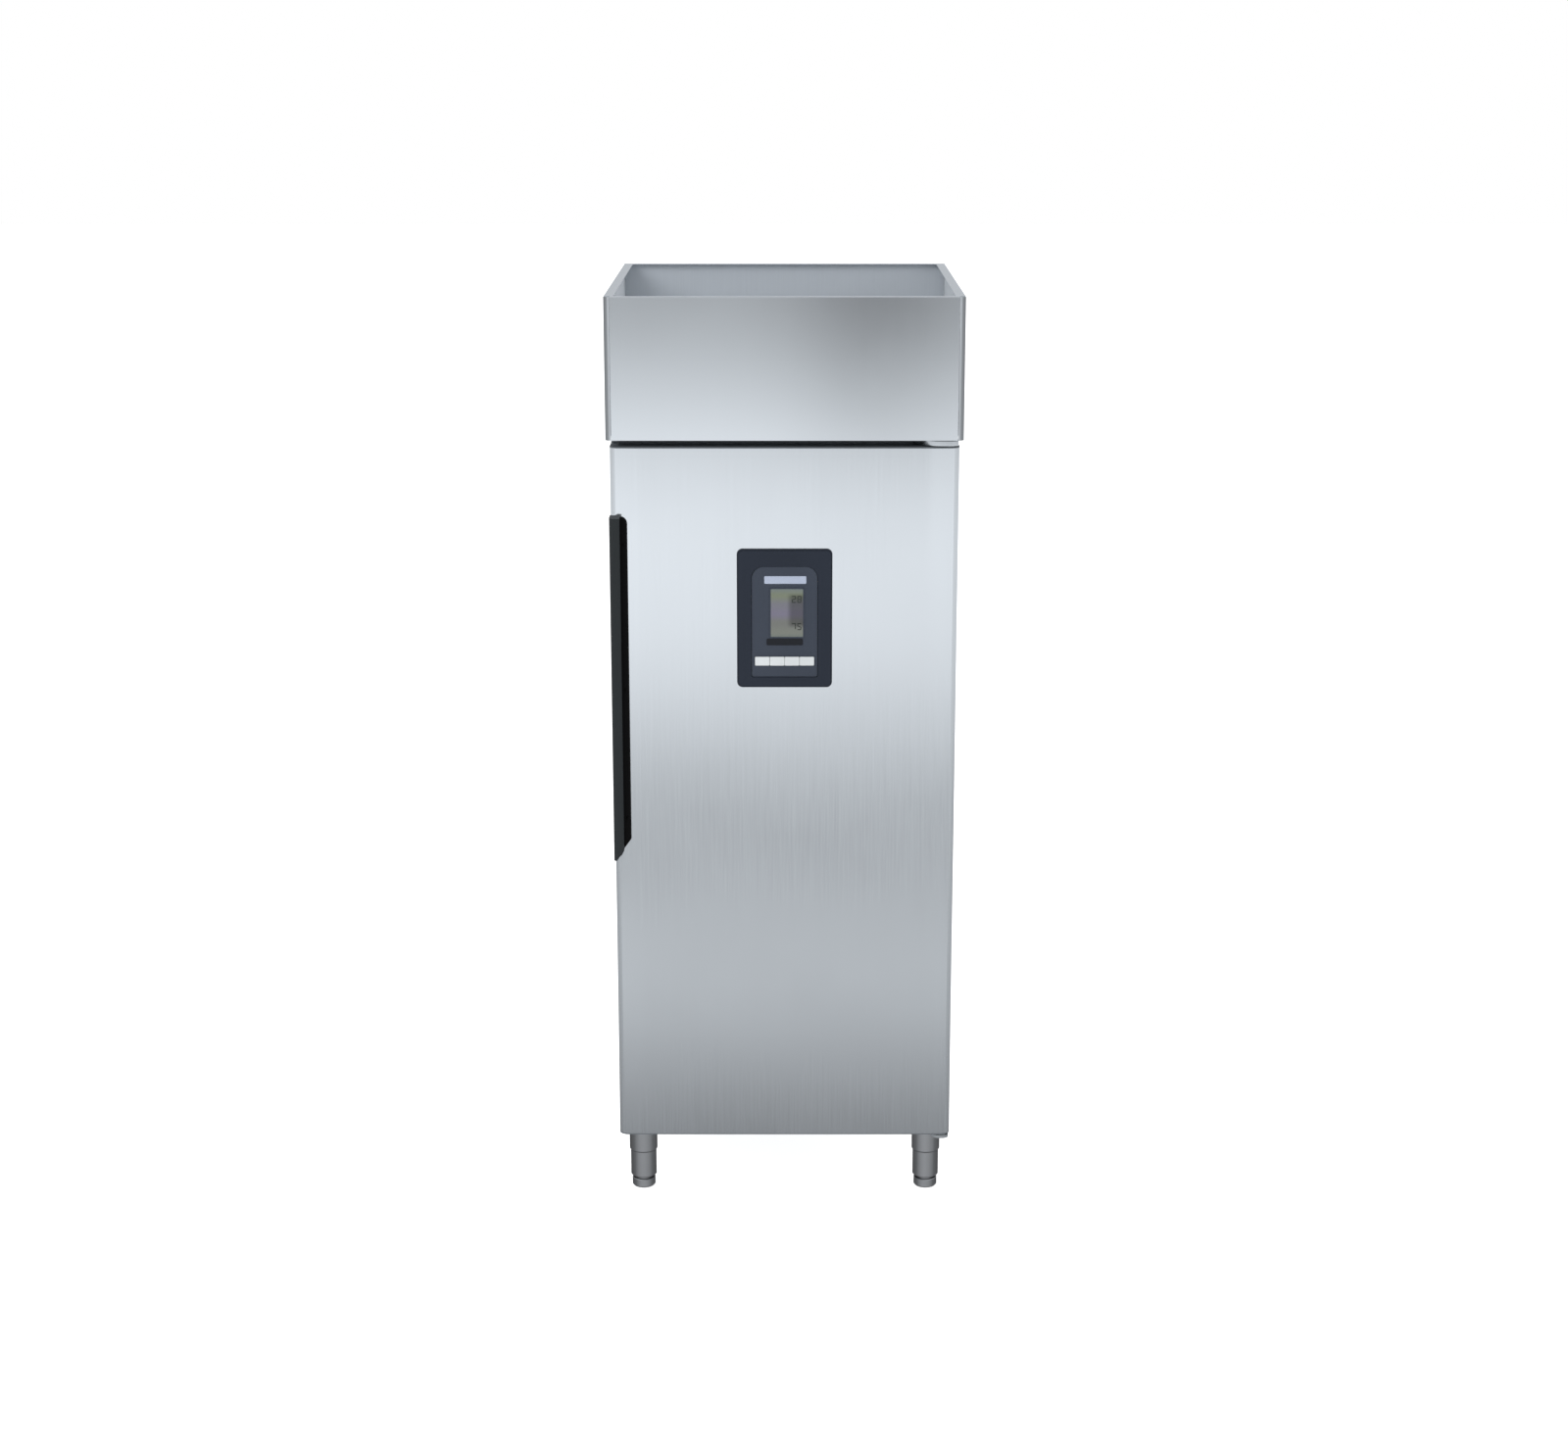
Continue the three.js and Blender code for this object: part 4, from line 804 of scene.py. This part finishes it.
def build_gasket():
    """Bellows seal: a barbed foot on the door, a soft fold, and the flat magnet pocket."""
    node = "door_gasket"
    low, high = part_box(node)
    depth = high.y - low.y
    foot_front = [(0.0, 0.0), (0.0, 0.12), (2.5, 0.20), (5.5, 0.26), (7.5, 0.36), (5.2, 0.46)]
    pocket = [(4.6, 0.60), (5.0, 0.88), (6.6, 1.0), (18.0, 1.0), (19.6, 0.92), (20.6, 0.74)]
    foot_rear = [(20.2, 0.52), (18.4, 0.40), (20.0, 0.28), (23.0, 0.20), (26.0, 0.12), (26.0, 0.0)]
    section = foot_front + pocket + foot_rear  # millimetres inwards, and share of the depth
    steps = [(inset * MM, low.y + share * depth) for inset, share in section]
    bm = bmesh.new()
    add_loft(bm, inset_loops(low.x, high.x, low.z, high.z, 30 * MM, steps), closed=True)
    stand_in(node, bm, GASKET, 50)


def build_handle():
    """Grip with a finger recess behind it, painted near black as shade, and its fixing screws inside the
    recess.
    """
    node = "door_handle"
    low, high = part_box(node)
    door_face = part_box("door_outer_skin")[0].y
    handle = finished_copy(node, None, 1.4 * MM, 4, rear=door_face - 2 * MM)
    lip_rear = low.y + 5.5 * MM
    lip_right = low.x + 7 * MM

    def in_shaded_recess(centre, normal):
        looks_in = normal.x > 0.3 or normal.y < -0.3 or normal.y > 0.9
        return centre.y > lip_rear and centre.x > lip_right and looks_in

    # the recess faces are painted near black as shade
    paint(handle, RECESS_SHADE_PLASTIC, in_shaded_recess)
    base = door_face - 4 * MM
    x = high.x - 7 * MM
    heights = [low.z + 90 * MM, (low.z + high.z) / 2, high.z - 60 * MM]
    # the screws in the recess are painted the same shade
    screws("screws_handle", [((x, base, z), (0, -1, 0)) for z in heights], "door", 3.4 * MM, RECESS_SHADE_PLASTIC)


# -------- controller
SEVEN_SEGMENTS = {"2": "abged", "8": "abcdefg", "7": "abc", "5": "afgcd"}


def add_digit(bm, digit, x, z, width, height, y0, y1):
    """A seven-segment digit with its lower left corner at x and z. No two segments share any space."""
    t = 0.24 * width  # thickness of a segment
    gap = 0.12 * t
    mid = z + height / 2
    bars = {
        "a": (x, x + width, z + height - t, z + height),
        "g": (x + t, x + width - t, mid - t / 2, mid + t / 2),
        "d": (x, x + width, z, z + t),
        "f": (x, x + t, mid, z + height - t),
        "b": (x + width - t, x + width, mid, z + height - t),
        "e": (x, x + t, z + t, mid),
        "c": (x + width - t, x + width, z + t, mid),
    }
    for name in SEVEN_SEGMENTS[digit]:
        x0, x1, z0, z1 = bars[name]
        add_block(bm, (x0 + gap, y0, z0 + gap), (x1 - gap, y1, z1 - gap))


def build_display(face):
    """Rounded glass, the frame round it, and two rows of digits on the glass."""
    low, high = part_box("display_window")
    bm = bmesh.new()
    glass = [(0, high.y), (0, low.y + 0.5 * MM), (0.15 * MM, low.y + 0.15 * MM), (0.5 * MM, low.y)]
    add_loft(bm, inset_loops(low.x, high.x, low.z, high.z, 5 * MM, glass))
    stand_in("display_window", bm, DISPLAY)

    bm = bmesh.new()
    front = low.y - 0.6 * MM
    frame_steps = [
        (-1.5 * MM, face),
        (-1.2 * MM, front),
        (0.8 * MM, front),
        (1.4 * MM, low.y + 0.1 * MM),
    ]
    add_loft(bm, inset_loops(low.x, high.x, low.z, high.z, 2.5 * MM, frame_steps), closed=True)
    new_piece("display_frame", bm, MODULE_PLASTIC, "door")

    bm = bmesh.new()
    width, height, spacing = 8.5 * MM, 15 * MM, 11.5 * MM
    first = high.x - 25 * MM
    for text, z in (("28", high.z - 31 * MM), ("75", low.z + 16 * MM)):
        for i, character in enumerate(text):
            x = first + i * spacing
            add_digit(bm, character, x, z, width, height, low.y - 0.12 * MM, low.y + 0.1 * MM)
    new_piece("display_digits", bm, SEGMENTS, "door")


def add_plate(bm, x0, x1, z0, z1, face):
    """A thin raised plate with softened edges on the module's face."""
    steps = [
        (0, face + 0.2 * MM),
        (0, face - 0.5 * MM),
        (0.3 * MM, face - 0.9 * MM),
        (0.9 * MM, face - 1.1 * MM),
    ]
    add_loft(bm, inset_loops(x0, x1, z0, z1, 2.5 * MM, steps))


def build_controller():
    """Controller in the door: bezel with painted shade on its rim, module, display, a dark strip under it,
    blank badge and four keys.
    """
    bezel = finished_copy("control_bezel", None, 1.2 * MM, 3)
    low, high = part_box("control_bezel")
    rim = 12 * MM

    def on_rim(centre, normal):
        return abs(centre.x) > high.x - rim or centre.z > high.z - rim or centre.z < low.z + rim

    # painted shade round the bezel's rim
    paint(bezel, BEZEL_RIM_SHADE, on_rim)
    finished_copy("display_module", None, 0.9 * MM, 3)
    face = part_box("display_module")[0].y
    build_display(face)

    low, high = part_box("display_window")
    middle = (low.x + high.x) / 2
    # a dark glossy plate over the dark band under the display
    bm = bmesh.new()
    add_plate(bm, middle - 43 * MM, middle + 34 * MM, low.z - 17 * MM, low.z - 2.5 * MM, face)
    new_piece("dark_strip_under_display", bm, STRIP_PLASTIC, "door")
    bm = bmesh.new()
    add_plate(bm, -43 * MM, 46 * MM, 1419 * MM, 1435.5 * MM, face)
    new_piece("badge_plate", bm, BADGE, "door")
    for i in range(1, 5):
        finished_copy(f"key_{i}", None, 0.8 * MM, 3)


# -------- racks and shelves
def add_slotted_channel(bm, inner, wall, y0, y1, z0, z1, pitch):
    """Upright of a rack: a channel open to the wall, with a slot every pitch in its face."""
    slot_y0, slot_y1 = (y0 + y1) / 2 - 5 * MM, (y0 + y1) / 2 + 5 * MM
    slot_height = 3.5 * MM
    levels = [z0]
    z = z0 + pitch / 2
    while z + slot_height < z1:
        levels += [z, z + slot_height]
        z += pitch
    levels.append(z1)
    plan = [(wall, y0), (inner, y0), (inner, slot_y0), (inner, slot_y1), (inner, y1), (wall, y1)]
    slot_side = 2
    rows = [[bm.verts.new((x, y, z)) for x, y in plan] for z in levels]
    for row, (below, above) in enumerate(zip(rows, rows[1:])):
        for i in range(len(plan) - 1):
            is_slot = i == slot_side and row % 2 == 1
            if not is_slot:
                bm.faces.new((below[i], below[i + 1], above[i + 1], above[i]))


def build_rack(side):
    """Two slotted uprights with ten angle runners hooked into them."""
    node = f"rack_{side}"
    sign = 1 if side == "right" else -1
    low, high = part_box(node)
    inner, wall = sorted((abs(low.x), abs(high.x)))
    post = inner + 25 * MM
    first, pitch, count = 310 * MM, 125 * MM, 10
    upright_width = 28 * MM
    upright_fronts = (-240 * MM, 220 * MM)
    bm = bmesh.new()
    for y in upright_fronts:
        add_slotted_channel(bm, sign * post, sign * wall, y, y + upright_width, low.z, high.z, pitch / 4)
    uprights = new_piece(f"{node}_uprights", bm, STEEL_LINER, "cabinet")
    looks_right = looks_along(uprights, 0, lambda centre: abs(abs(centre.x) - post) < MM)
    thicken(uprights, 1.2 * MM, inwards=looks_right != (side == "right"))

    bm = bmesh.new()
    thickness = 1.5 * MM
    web = 16 * MM
    for level in range(count):
        top = first + level * pitch + thickness
        section = [
            (inner, top - 0.2 * MM),
            (inner + 0.2 * MM, top),
            (post - 1.5 * MM, top),
            (post - 0.3 * MM, top - 0.5 * MM),
            (post, top - 1.8 * MM),
            (post, top - web),
            (post - thickness, top - web),
            (post - thickness, top - 2.2 * MM),
            (post - 2.2 * MM, top - thickness),
            (inner, top - thickness),
        ]
        loops = [[Vector((sign * x, y, z)) for x, z in section] for y in (low.y, high.y)]
        add_loft(bm, loops)
        for upright in upright_fronts:  # hooks into the uprights
            y = upright + upright_width / 2
            z = top - web + 5 * MM
            x0, x1 = sorted((sign * (post - thickness - 0.8 * MM), sign * post))
            add_block(bm, (x0, y - 4 * MM, z), (x1, y + 4 * MM, z + 6 * MM))
    stand_in(node, bm, STEEL_LINER)


def build_shelf(number):
    """Chromed shelf: a round frame with two stretchers, and thin wires across."""
    node = f"wire_shelf_{number}"
    low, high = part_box(node)
    bar, stretcher, wire = 3.5 * MM, 3 * MM, 2 * MM  # radii
    z = low.z + bar
    x, y0, y1 = high.x - bar, low.y + bar, high.y - bar
    corners = [(0, y0, z), (x, y0, z), (x, y1, z), (-x, y1, z), (-x, y0, z), (0, y0, z)]
    paths = [(filleted(corners, 16 * MM)[:-1], bar, True)]
    under = z - 0.4 * MM
    for across in (-90 * MM, 90 * MM):
        paths.append(([(across, y0, under), (across, y1, under)], stretcher, False))
    spaces = 24
    top = high.z - wire
    for i in range(1, spaces):
        y = low.y + (high.y - low.y) * i / spaces
        in_corner = i in (1, spaces - 1)
        reach = x - 4 * MM if in_corner else x
        paths.append(([(-reach, y, top), (reach, y, top)], wire, False))
    wire_stand_in(node, paths, CHROME)


# -------- fan space and service deck
def build_pipes():
    """The bent steam pipe, the water hose, and the ring of the heating element."""
    low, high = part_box("steam_pipe")
    r = 7.5 * MM
    y = (low.y + high.y) / 2
    path = [(high.x, y, high.z - r), (low.x + r, y, high.z - r), (low.x + r, y, low.z)]
    wire_stand_in("steam_pipe", [(filleted(path, 26 * MM, 10), r, False)], STEEL_LINER)

    low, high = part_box("water_hose")
    r = 5 * MM
    z = low.z + r
    left, right = low.x + r, high.x - r
    rear = high.y - r
    path = [(right, rear, high.z), (right, rear, z), (left, high.y - 20 * MM, z), (left, low.y, z)]
    wire_stand_in("water_hose", [(filleted(path, 18 * MM, 8), r, False)], HOSE)

    low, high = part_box("heating_element")
    r = 4.2 * MM
    ring = (high.y - low.y) / 2 - r
    x = low.x + r + ring
    y = (low.y + high.y) / 2
    gap = 0.14  # half the angle between the two ends
    steps = 72
    angles = [gap + (2 * math.pi - 2 * gap) * i / steps for i in range(steps + 1)]
    points = [(x + ring * math.cos(a), y + ring * math.sin(a), low.z + r) for a in angles]
    start, end = ([(*tip[:2], high.z), (*tip[:2], low.z + 3 * r)] for tip in (points[0], points[-1]))
    wire_stand_in("heating_element", [(start + points[1:-1] + end[::-1], r, False)], SHEATH)


def build_cable():
    """Mains cable with gland and grommet, and a moulded plug with a ribbed strain relief and two pins."""
    node = "mains_cable"
    low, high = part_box(node)
    x = (low.x + high.x) / 2
    r = 4.5 * MM
    z = high.z - 11 * MM
    drop = high.y - 16 * MM
    plug_top = low.z + 67 * MM
    plug_base = plug_top - 48 * MM
    plug_y = high.y - 15.5 * MM
    path = [(x, low.y, z), (x, drop, z), (x, drop, plug_top - 10 * MM)]
    wire_stand_in(node, [(filleted(path, 30 * MM, 12), r, False)], CABLE)

    rearwards = (0, 1, 0)
    box_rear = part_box("control_box")[1].y
    gland = [(9, 0), (11, 1), (11, 9), (8, 13)]  # millimetres, as are the other profiles here
    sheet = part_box("collar_back")[1].y
    grommet = [(5.5, -6), (10.5, -5), (12, -3.5), (12, -1.2), (8.8, -1.1)]
    grommet += [(8.8, 0.1), (12, 0.2), (12, 2), (10.5, 3.2), (5.5, 4)]
    rib = [(6.5, 0), (7, 0.8), (7, 2.2), (6.3, 3)]
    bm = bmesh.new()
    add_turned(bm, in_mm(gland), aimed((x, box_rear, z), rearwards), 6)
    add_turned(bm, in_mm(grommet), aimed((x, sheet, z), rearwards), 32)
    loops = []
    for height, size in ((0, 0.93), (2, 1), (20, 1), (26, 0.93), (36, 0.55), (48, 0.45)):
        width, depth, radius = (size * half * MM for half in (21, 14, 9))
        loop = rounded_loop(-width, width, -depth, depth, radius, 0)
        loops.append([Vector((x + p.x, plug_y + p.z, plug_base + height * MM)) for p in loop])
    add_loft(bm, loops)
    for i in range(4):
        add_turned(bm, in_mm(rib), aimed((x, drop, plug_top - 6 * MM + i * 5 * MM)), 24)
    new_piece("mains_plug", bm, CABLE, "cabinet")

    bm = bmesh.new()
    pin = [(1.2, 0), (2.4, 2), (2.4, 20)]
    for side in (-1, 1):
        add_turned(bm, in_mm(pin), aimed((x + side * 9.5 * MM, plug_y, low.z)), 20)
    new_piece("mains_plug_pins", bm, ZINC, "cabinet")


def build_motor():
    """Finned fan motor with its flange screws."""
    node = "fan_motor"
    low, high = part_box(node)
    centre = (low + high) / 2
    flange = (high.x - low.x) / 2
    core = flange - 18 * MM
    fin = flange - 14 * MM
    flange_top = low.z + 4 * MM
    profile = [(5.2 * MM, low.z), (flange, low.z), (flange, flange_top), (core, low.z + 5 * MM)]
    fins, pitch = 9, 6 * MM
    for i in range(fins):
        z = low.z + 8 * MM + i * pitch
        profile += [(core, z), (fin, z + 0.4 * MM), (fin, z + 2 * MM), (core, z + 2.4 * MM)]
    profile += [(core, high.z - 10 * MM), (core - 6 * MM, high.z - 3 * MM), (20 * MM, high.z)]
    bm = bmesh.new()
    add_turned(bm, profile, Matrix.Translation((centre.x, centre.y, 0)), 64)
    stand_in(node, bm, ZINC)
    places = ring_of_four(centre, flange - 6 * MM, flange_top, (0, 0, 1))
    screws("screws_fan_motor", places, "cabinet", 3.5 * MM)


def build_steam_tank():
    """Steam generator: a drawn tank with two clamp bands, a domed lid and its terminal cap."""
    node = "steam_generator"
    low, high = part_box(node)
    centre = (low + high) / 2
    radius = (high.x - low.x) / 2
    skin = radius - 1.2 * MM
    top = high.z - 14 * MM
    profile = [(skin - 4 * MM, low.z), (skin, low.z + 3 * MM)]
    for z in (low.z + 22 * MM, top - 42 * MM):  # clamp bands
        profile += [(skin, z), (radius, z + 0.3 * MM), (radius, z + 11.7 * MM), (skin, z + 12 * MM)]
    shoulder, rise = 14 * MM, 11 * MM
    steps = 6
    for i in range(steps + 1):
        angle = math.pi / 2 * i / steps
        profile.append((skin - shoulder * (1 - math.cos(angle)), top - shoulder + rise * math.sin(angle)))
    cap = 22 * MM
    profile += [(cap + 2 * MM, top - 0.5 * MM), (cap, top), (cap, high.z - 2 * MM), (cap - 2 * MM, high.z)]
    bm = bmesh.new()
    add_turned(bm, profile, Matrix.Translation((centre.x, centre.y, 0)), 64)
    tank = stand_in(node, bm, STEEL_LINER)
    paint(tank, BLACK_PLASTIC, lambda centre, normal: centre.z > top + 1 * MM)


def build_deck():
    """What stands on the roof inside the collar."""
    finished_copy("control_box", None, 0.4 * MM)
    finished_copy("control_box_lid", None, 0.8 * MM, 3)
    low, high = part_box("control_box_lid")
    inset = 10 * MM
    columns = (low.x + inset, high.x - inset)
    rows = (low.y + inset, high.y - inset)
    places = [((x, y, high.z), (0, 0, 1)) for x in columns for y in rows]
    screws("screws_control_box", places, "cabinet", 3.2 * MM)
    build_motor()
    build_steam_tank()
    build_pipes()
    build_cable()


def build_fan_guard_screws():
    """Four screws that hold the intake grille from below."""
    low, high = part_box("fan_guard")
    radius = (high.x - low.x) / 2 - 7 * MM
    places = ring_of_four((low + high) / 2, radius, low.z, (0, 0, -1))
    screws("screws_fan_guard", places, "cabinet", 3 * MM)


build_collar()
build_body()
for leg_place in ("front_left", "front_right", "rear_left", "rear_right"):
    build_leg(leg_place)
build_door_skin()
build_inner_skin()
build_gasket()
build_handle()
build_controller()
for rack_side in ("left", "right"):
    build_rack(rack_side)
for shelf_number in (1, 2, 3):
    build_shelf(shelf_number)
build_deck()
build_fan_guard_screws()
for bracket in ("hinge_bracket_upper", "hinge_bracket_lower"):
    finished_copy(bracket, STEEL_BRACKET, 0.6 * MM, 2)
for cap in ("door_cap_upper", "door_cap_lower"):
    finished_copy(cap, GREY_PLASTIC, 0.4 * MM)
for other in sorted(set(NODES) - DONE):  # whatever needs no work of its own
    finished_copy(other, None, 0.3 * MM, 1)


# -------- surroundings
# What a mirror would show by the elevation of the reflected ray, in degrees.
ELEVATION_STOPS = [
    (-60, 0.70),
    (-35, 0.45),
    (-24, 0.21),
    (-22.4, 0.32),
    (-21, 0.58),
    (-19.3, 0.745),
    (-17.3, 0.51),
    (-16.1, 0.505),
    (-14.6, 0.77),
    (-13, 1.02),
    (-11, 1.08),
    (-9.6, 1.08),
    (-8, 0.90),
    (-5.7, 0.515),
    (-3.5, 0.52),
    (0, 0.66),
    (10, 0.76),
    (20, 0.84),
    (35, 1.00),
    (60, 1.20),
]
# And by its compass direction: 0 is towards the camera, and negative is to the left.
AZIMUTH_STOPS = [
    (-180, 0.90),
    (-110, 0.84),
    (-60, 0.98),
    (-15, 1.04),
    (-5.6, 1.03),
    (-3.4, 1.01),
    (0, 1.00),
    (3.2, 0.97),
    (5.6, 0.985),
    (15, 0.97),
    (60, 0.95),
    (110, 0.86),
    (180, 0.90),
]
# A dark patch in the reflection: its middle and half sizes in degrees, and how much light it takes away.
PATCH = {"azimuth": 2.0, "elevation": -5.5, "width": 1.6, "height": 3.2, "depth": 0.44}


def build_world():
    """Soft studio: a graded surrounding for reflections, white behind the object, near white for the rest."""
    world = bpy.data.worlds.new("studio")
    bpy.context.scene.world = world
    world.use_nodes = True
    tree = world.node_tree
    tree.nodes.clear()

    def new(kind, **inputs):
        made = tree.nodes.new(kind)
        for key, value in inputs.items():
            feed(tree, made.inputs[key.replace("_", " ").title()], value)
        return made

    def calc(operation, *values):
        made = new("ShaderNodeMath")
        made.operation = operation
        for socket, value in zip(made.inputs, values):
            feed(tree, socket, value)
        return made.outputs[0]

    def ramp(value, stops):
        """Brightness by a value, from (value, brightness) stops."""
        low, high = stops[0][0], stops[-1][0]
        carried = new("ShaderNodeMapRange", value=value, from_min=low, from_max=high)
        made = new("ShaderNodeValToRGB", fac=carried.outputs[0])
        peak = max(level for _, level in stops)  # a ramp's colours end at 1
        shares = [((at - low) / (high - low), (level / peak,) * 3 + (1,)) for at, level in stops]
        fill_ramp(made.color_ramp, shares, "CARDINAL")
        return calc("MULTIPLY", made.outputs[0], peak)

    def background(color, strength):
        return new("ShaderNodeBackground", color=color, strength=strength).outputs[0]

    def choice(chosen_share, otherwise, chosen):
        made = new("ShaderNodeMixShader")
        for socket, value in zip(made.inputs, (chosen_share, otherwise, chosen)):
            feed(tree, socket, value)
        return made.outputs[0]

    direction = new("ShaderNodeTexCoord").outputs["Generated"]
    x, y, z = new("ShaderNodeSeparateXYZ", vector=direction).outputs
    degrees = 180 / math.pi
    elevation = calc("MULTIPLY", calc("ARCSINE", z), degrees)
    azimuth = calc("MULTIPLY", calc("ARCTAN2", x, calc("MULTIPLY", y, -1.0)), degrees)
    by_elevation = ramp(elevation, ELEVATION_STOPS)
    by_azimuth = ramp(azimuth, AZIMUTH_STOPS)
    patch_x = calc("DIVIDE", calc("SUBTRACT", azimuth, PATCH["azimuth"]), PATCH["width"])
    patch_z = calc("DIVIDE", calc("SUBTRACT", elevation, PATCH["elevation"]), PATCH["height"])
    squares = calc("ADD", calc("MULTIPLY", patch_x, patch_x), calc("MULTIPLY", patch_z, patch_z))
    patch = calc("MULTIPLY", calc("EXPONENT", calc("MULTIPLY", squares, -1.0)), PATCH["depth"])
    level = calc("MULTIPLY", calc("MULTIPLY", by_elevation, by_azimuth), calc("SUBTRACT", 1.0, patch))

    rays = new("ShaderNodeLightPath").outputs
    white, bluish = (1, 1, 1, 1), (0.96, 1.0, 1.04, 1)
    unseen = choice(rays["Is Glossy Ray"], background(white, 0.85), background(bluish, level))
    seen = choice(rays["Is Camera Ray"], unseen, background(white, 1.0))
    new("ShaderNodeOutputWorld", surface=seen)


def area_light(name, place, target, size, power):
    """A round lamp that reflections don't show."""
    light = bpy.data.lights.new(name, "AREA")
    light.shape = "DISK"
    light.size = size
    light.energy = power
    made = bpy.data.objects.new(name, light)
    bpy.context.scene.collection.objects.link(made)
    made.location = place
    made.rotation_euler = (Vector(target) - Vector(place)).to_track_quat("-Z", "Y").to_euler()
    made.visible_glossy = False


def build_floor():
    """Plain white floor that runs into the white background. It glows, so that it shows no shadow."""
    bpy.ops.mesh.primitive_plane_add(size=60)
    floor = bpy.context.object
    floor.name = "floor"
    s = Shader("floor")
    s.look(base_color=s.scaled((0.90, 0.90, 0.90), s.spread(s.noise(0.8), 0.995, 1.005)))
    s.look(roughness=0.9, specular_ior_level=0.1, emission_color=(1, 1, 1, 1), emission_strength=0.68)
    floor.data.materials.append(s.material)
    floor.visible_glossy = False


build_world()
build_floor()
middle = (cad_box[0] + cad_box[1]) / 2
area_light("key", place=(-3.0, -4.0, 4.5), target=middle, size=3.0, power=160)
area_light("fill", place=(3.5, -3.0, 2.0), target=middle, size=3.0, power=50)

# -------- camera
CAMERA_X = -0.0012
CAMERA_DISTANCE = 5.72  # in front of the fascia
CAMERA_HEIGHT = 2.574
CAMERA_PITCH = 14.33  # degrees below the horizon
CAMERA_LENS = 63.27  # millimetres, on a sensor 36 mm wide

camera_data = bpy.data.cameras.new("camera")
camera_data.lens = CAMERA_LENS
camera_data.sensor_width = 36
camera = bpy.data.objects.new("camera", camera_data)
bpy.context.scene.collection.objects.link(camera)
camera.location = (CAMERA_X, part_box("fascia_panel")[0].y - CAMERA_DISTANCE, CAMERA_HEIGHT)
camera.rotation_euler = (math.radians(90 - CAMERA_PITCH), 0, 0)
bpy.context.scene.camera = camera
bpy.context.scene.view_settings.view_transform = "Standard"
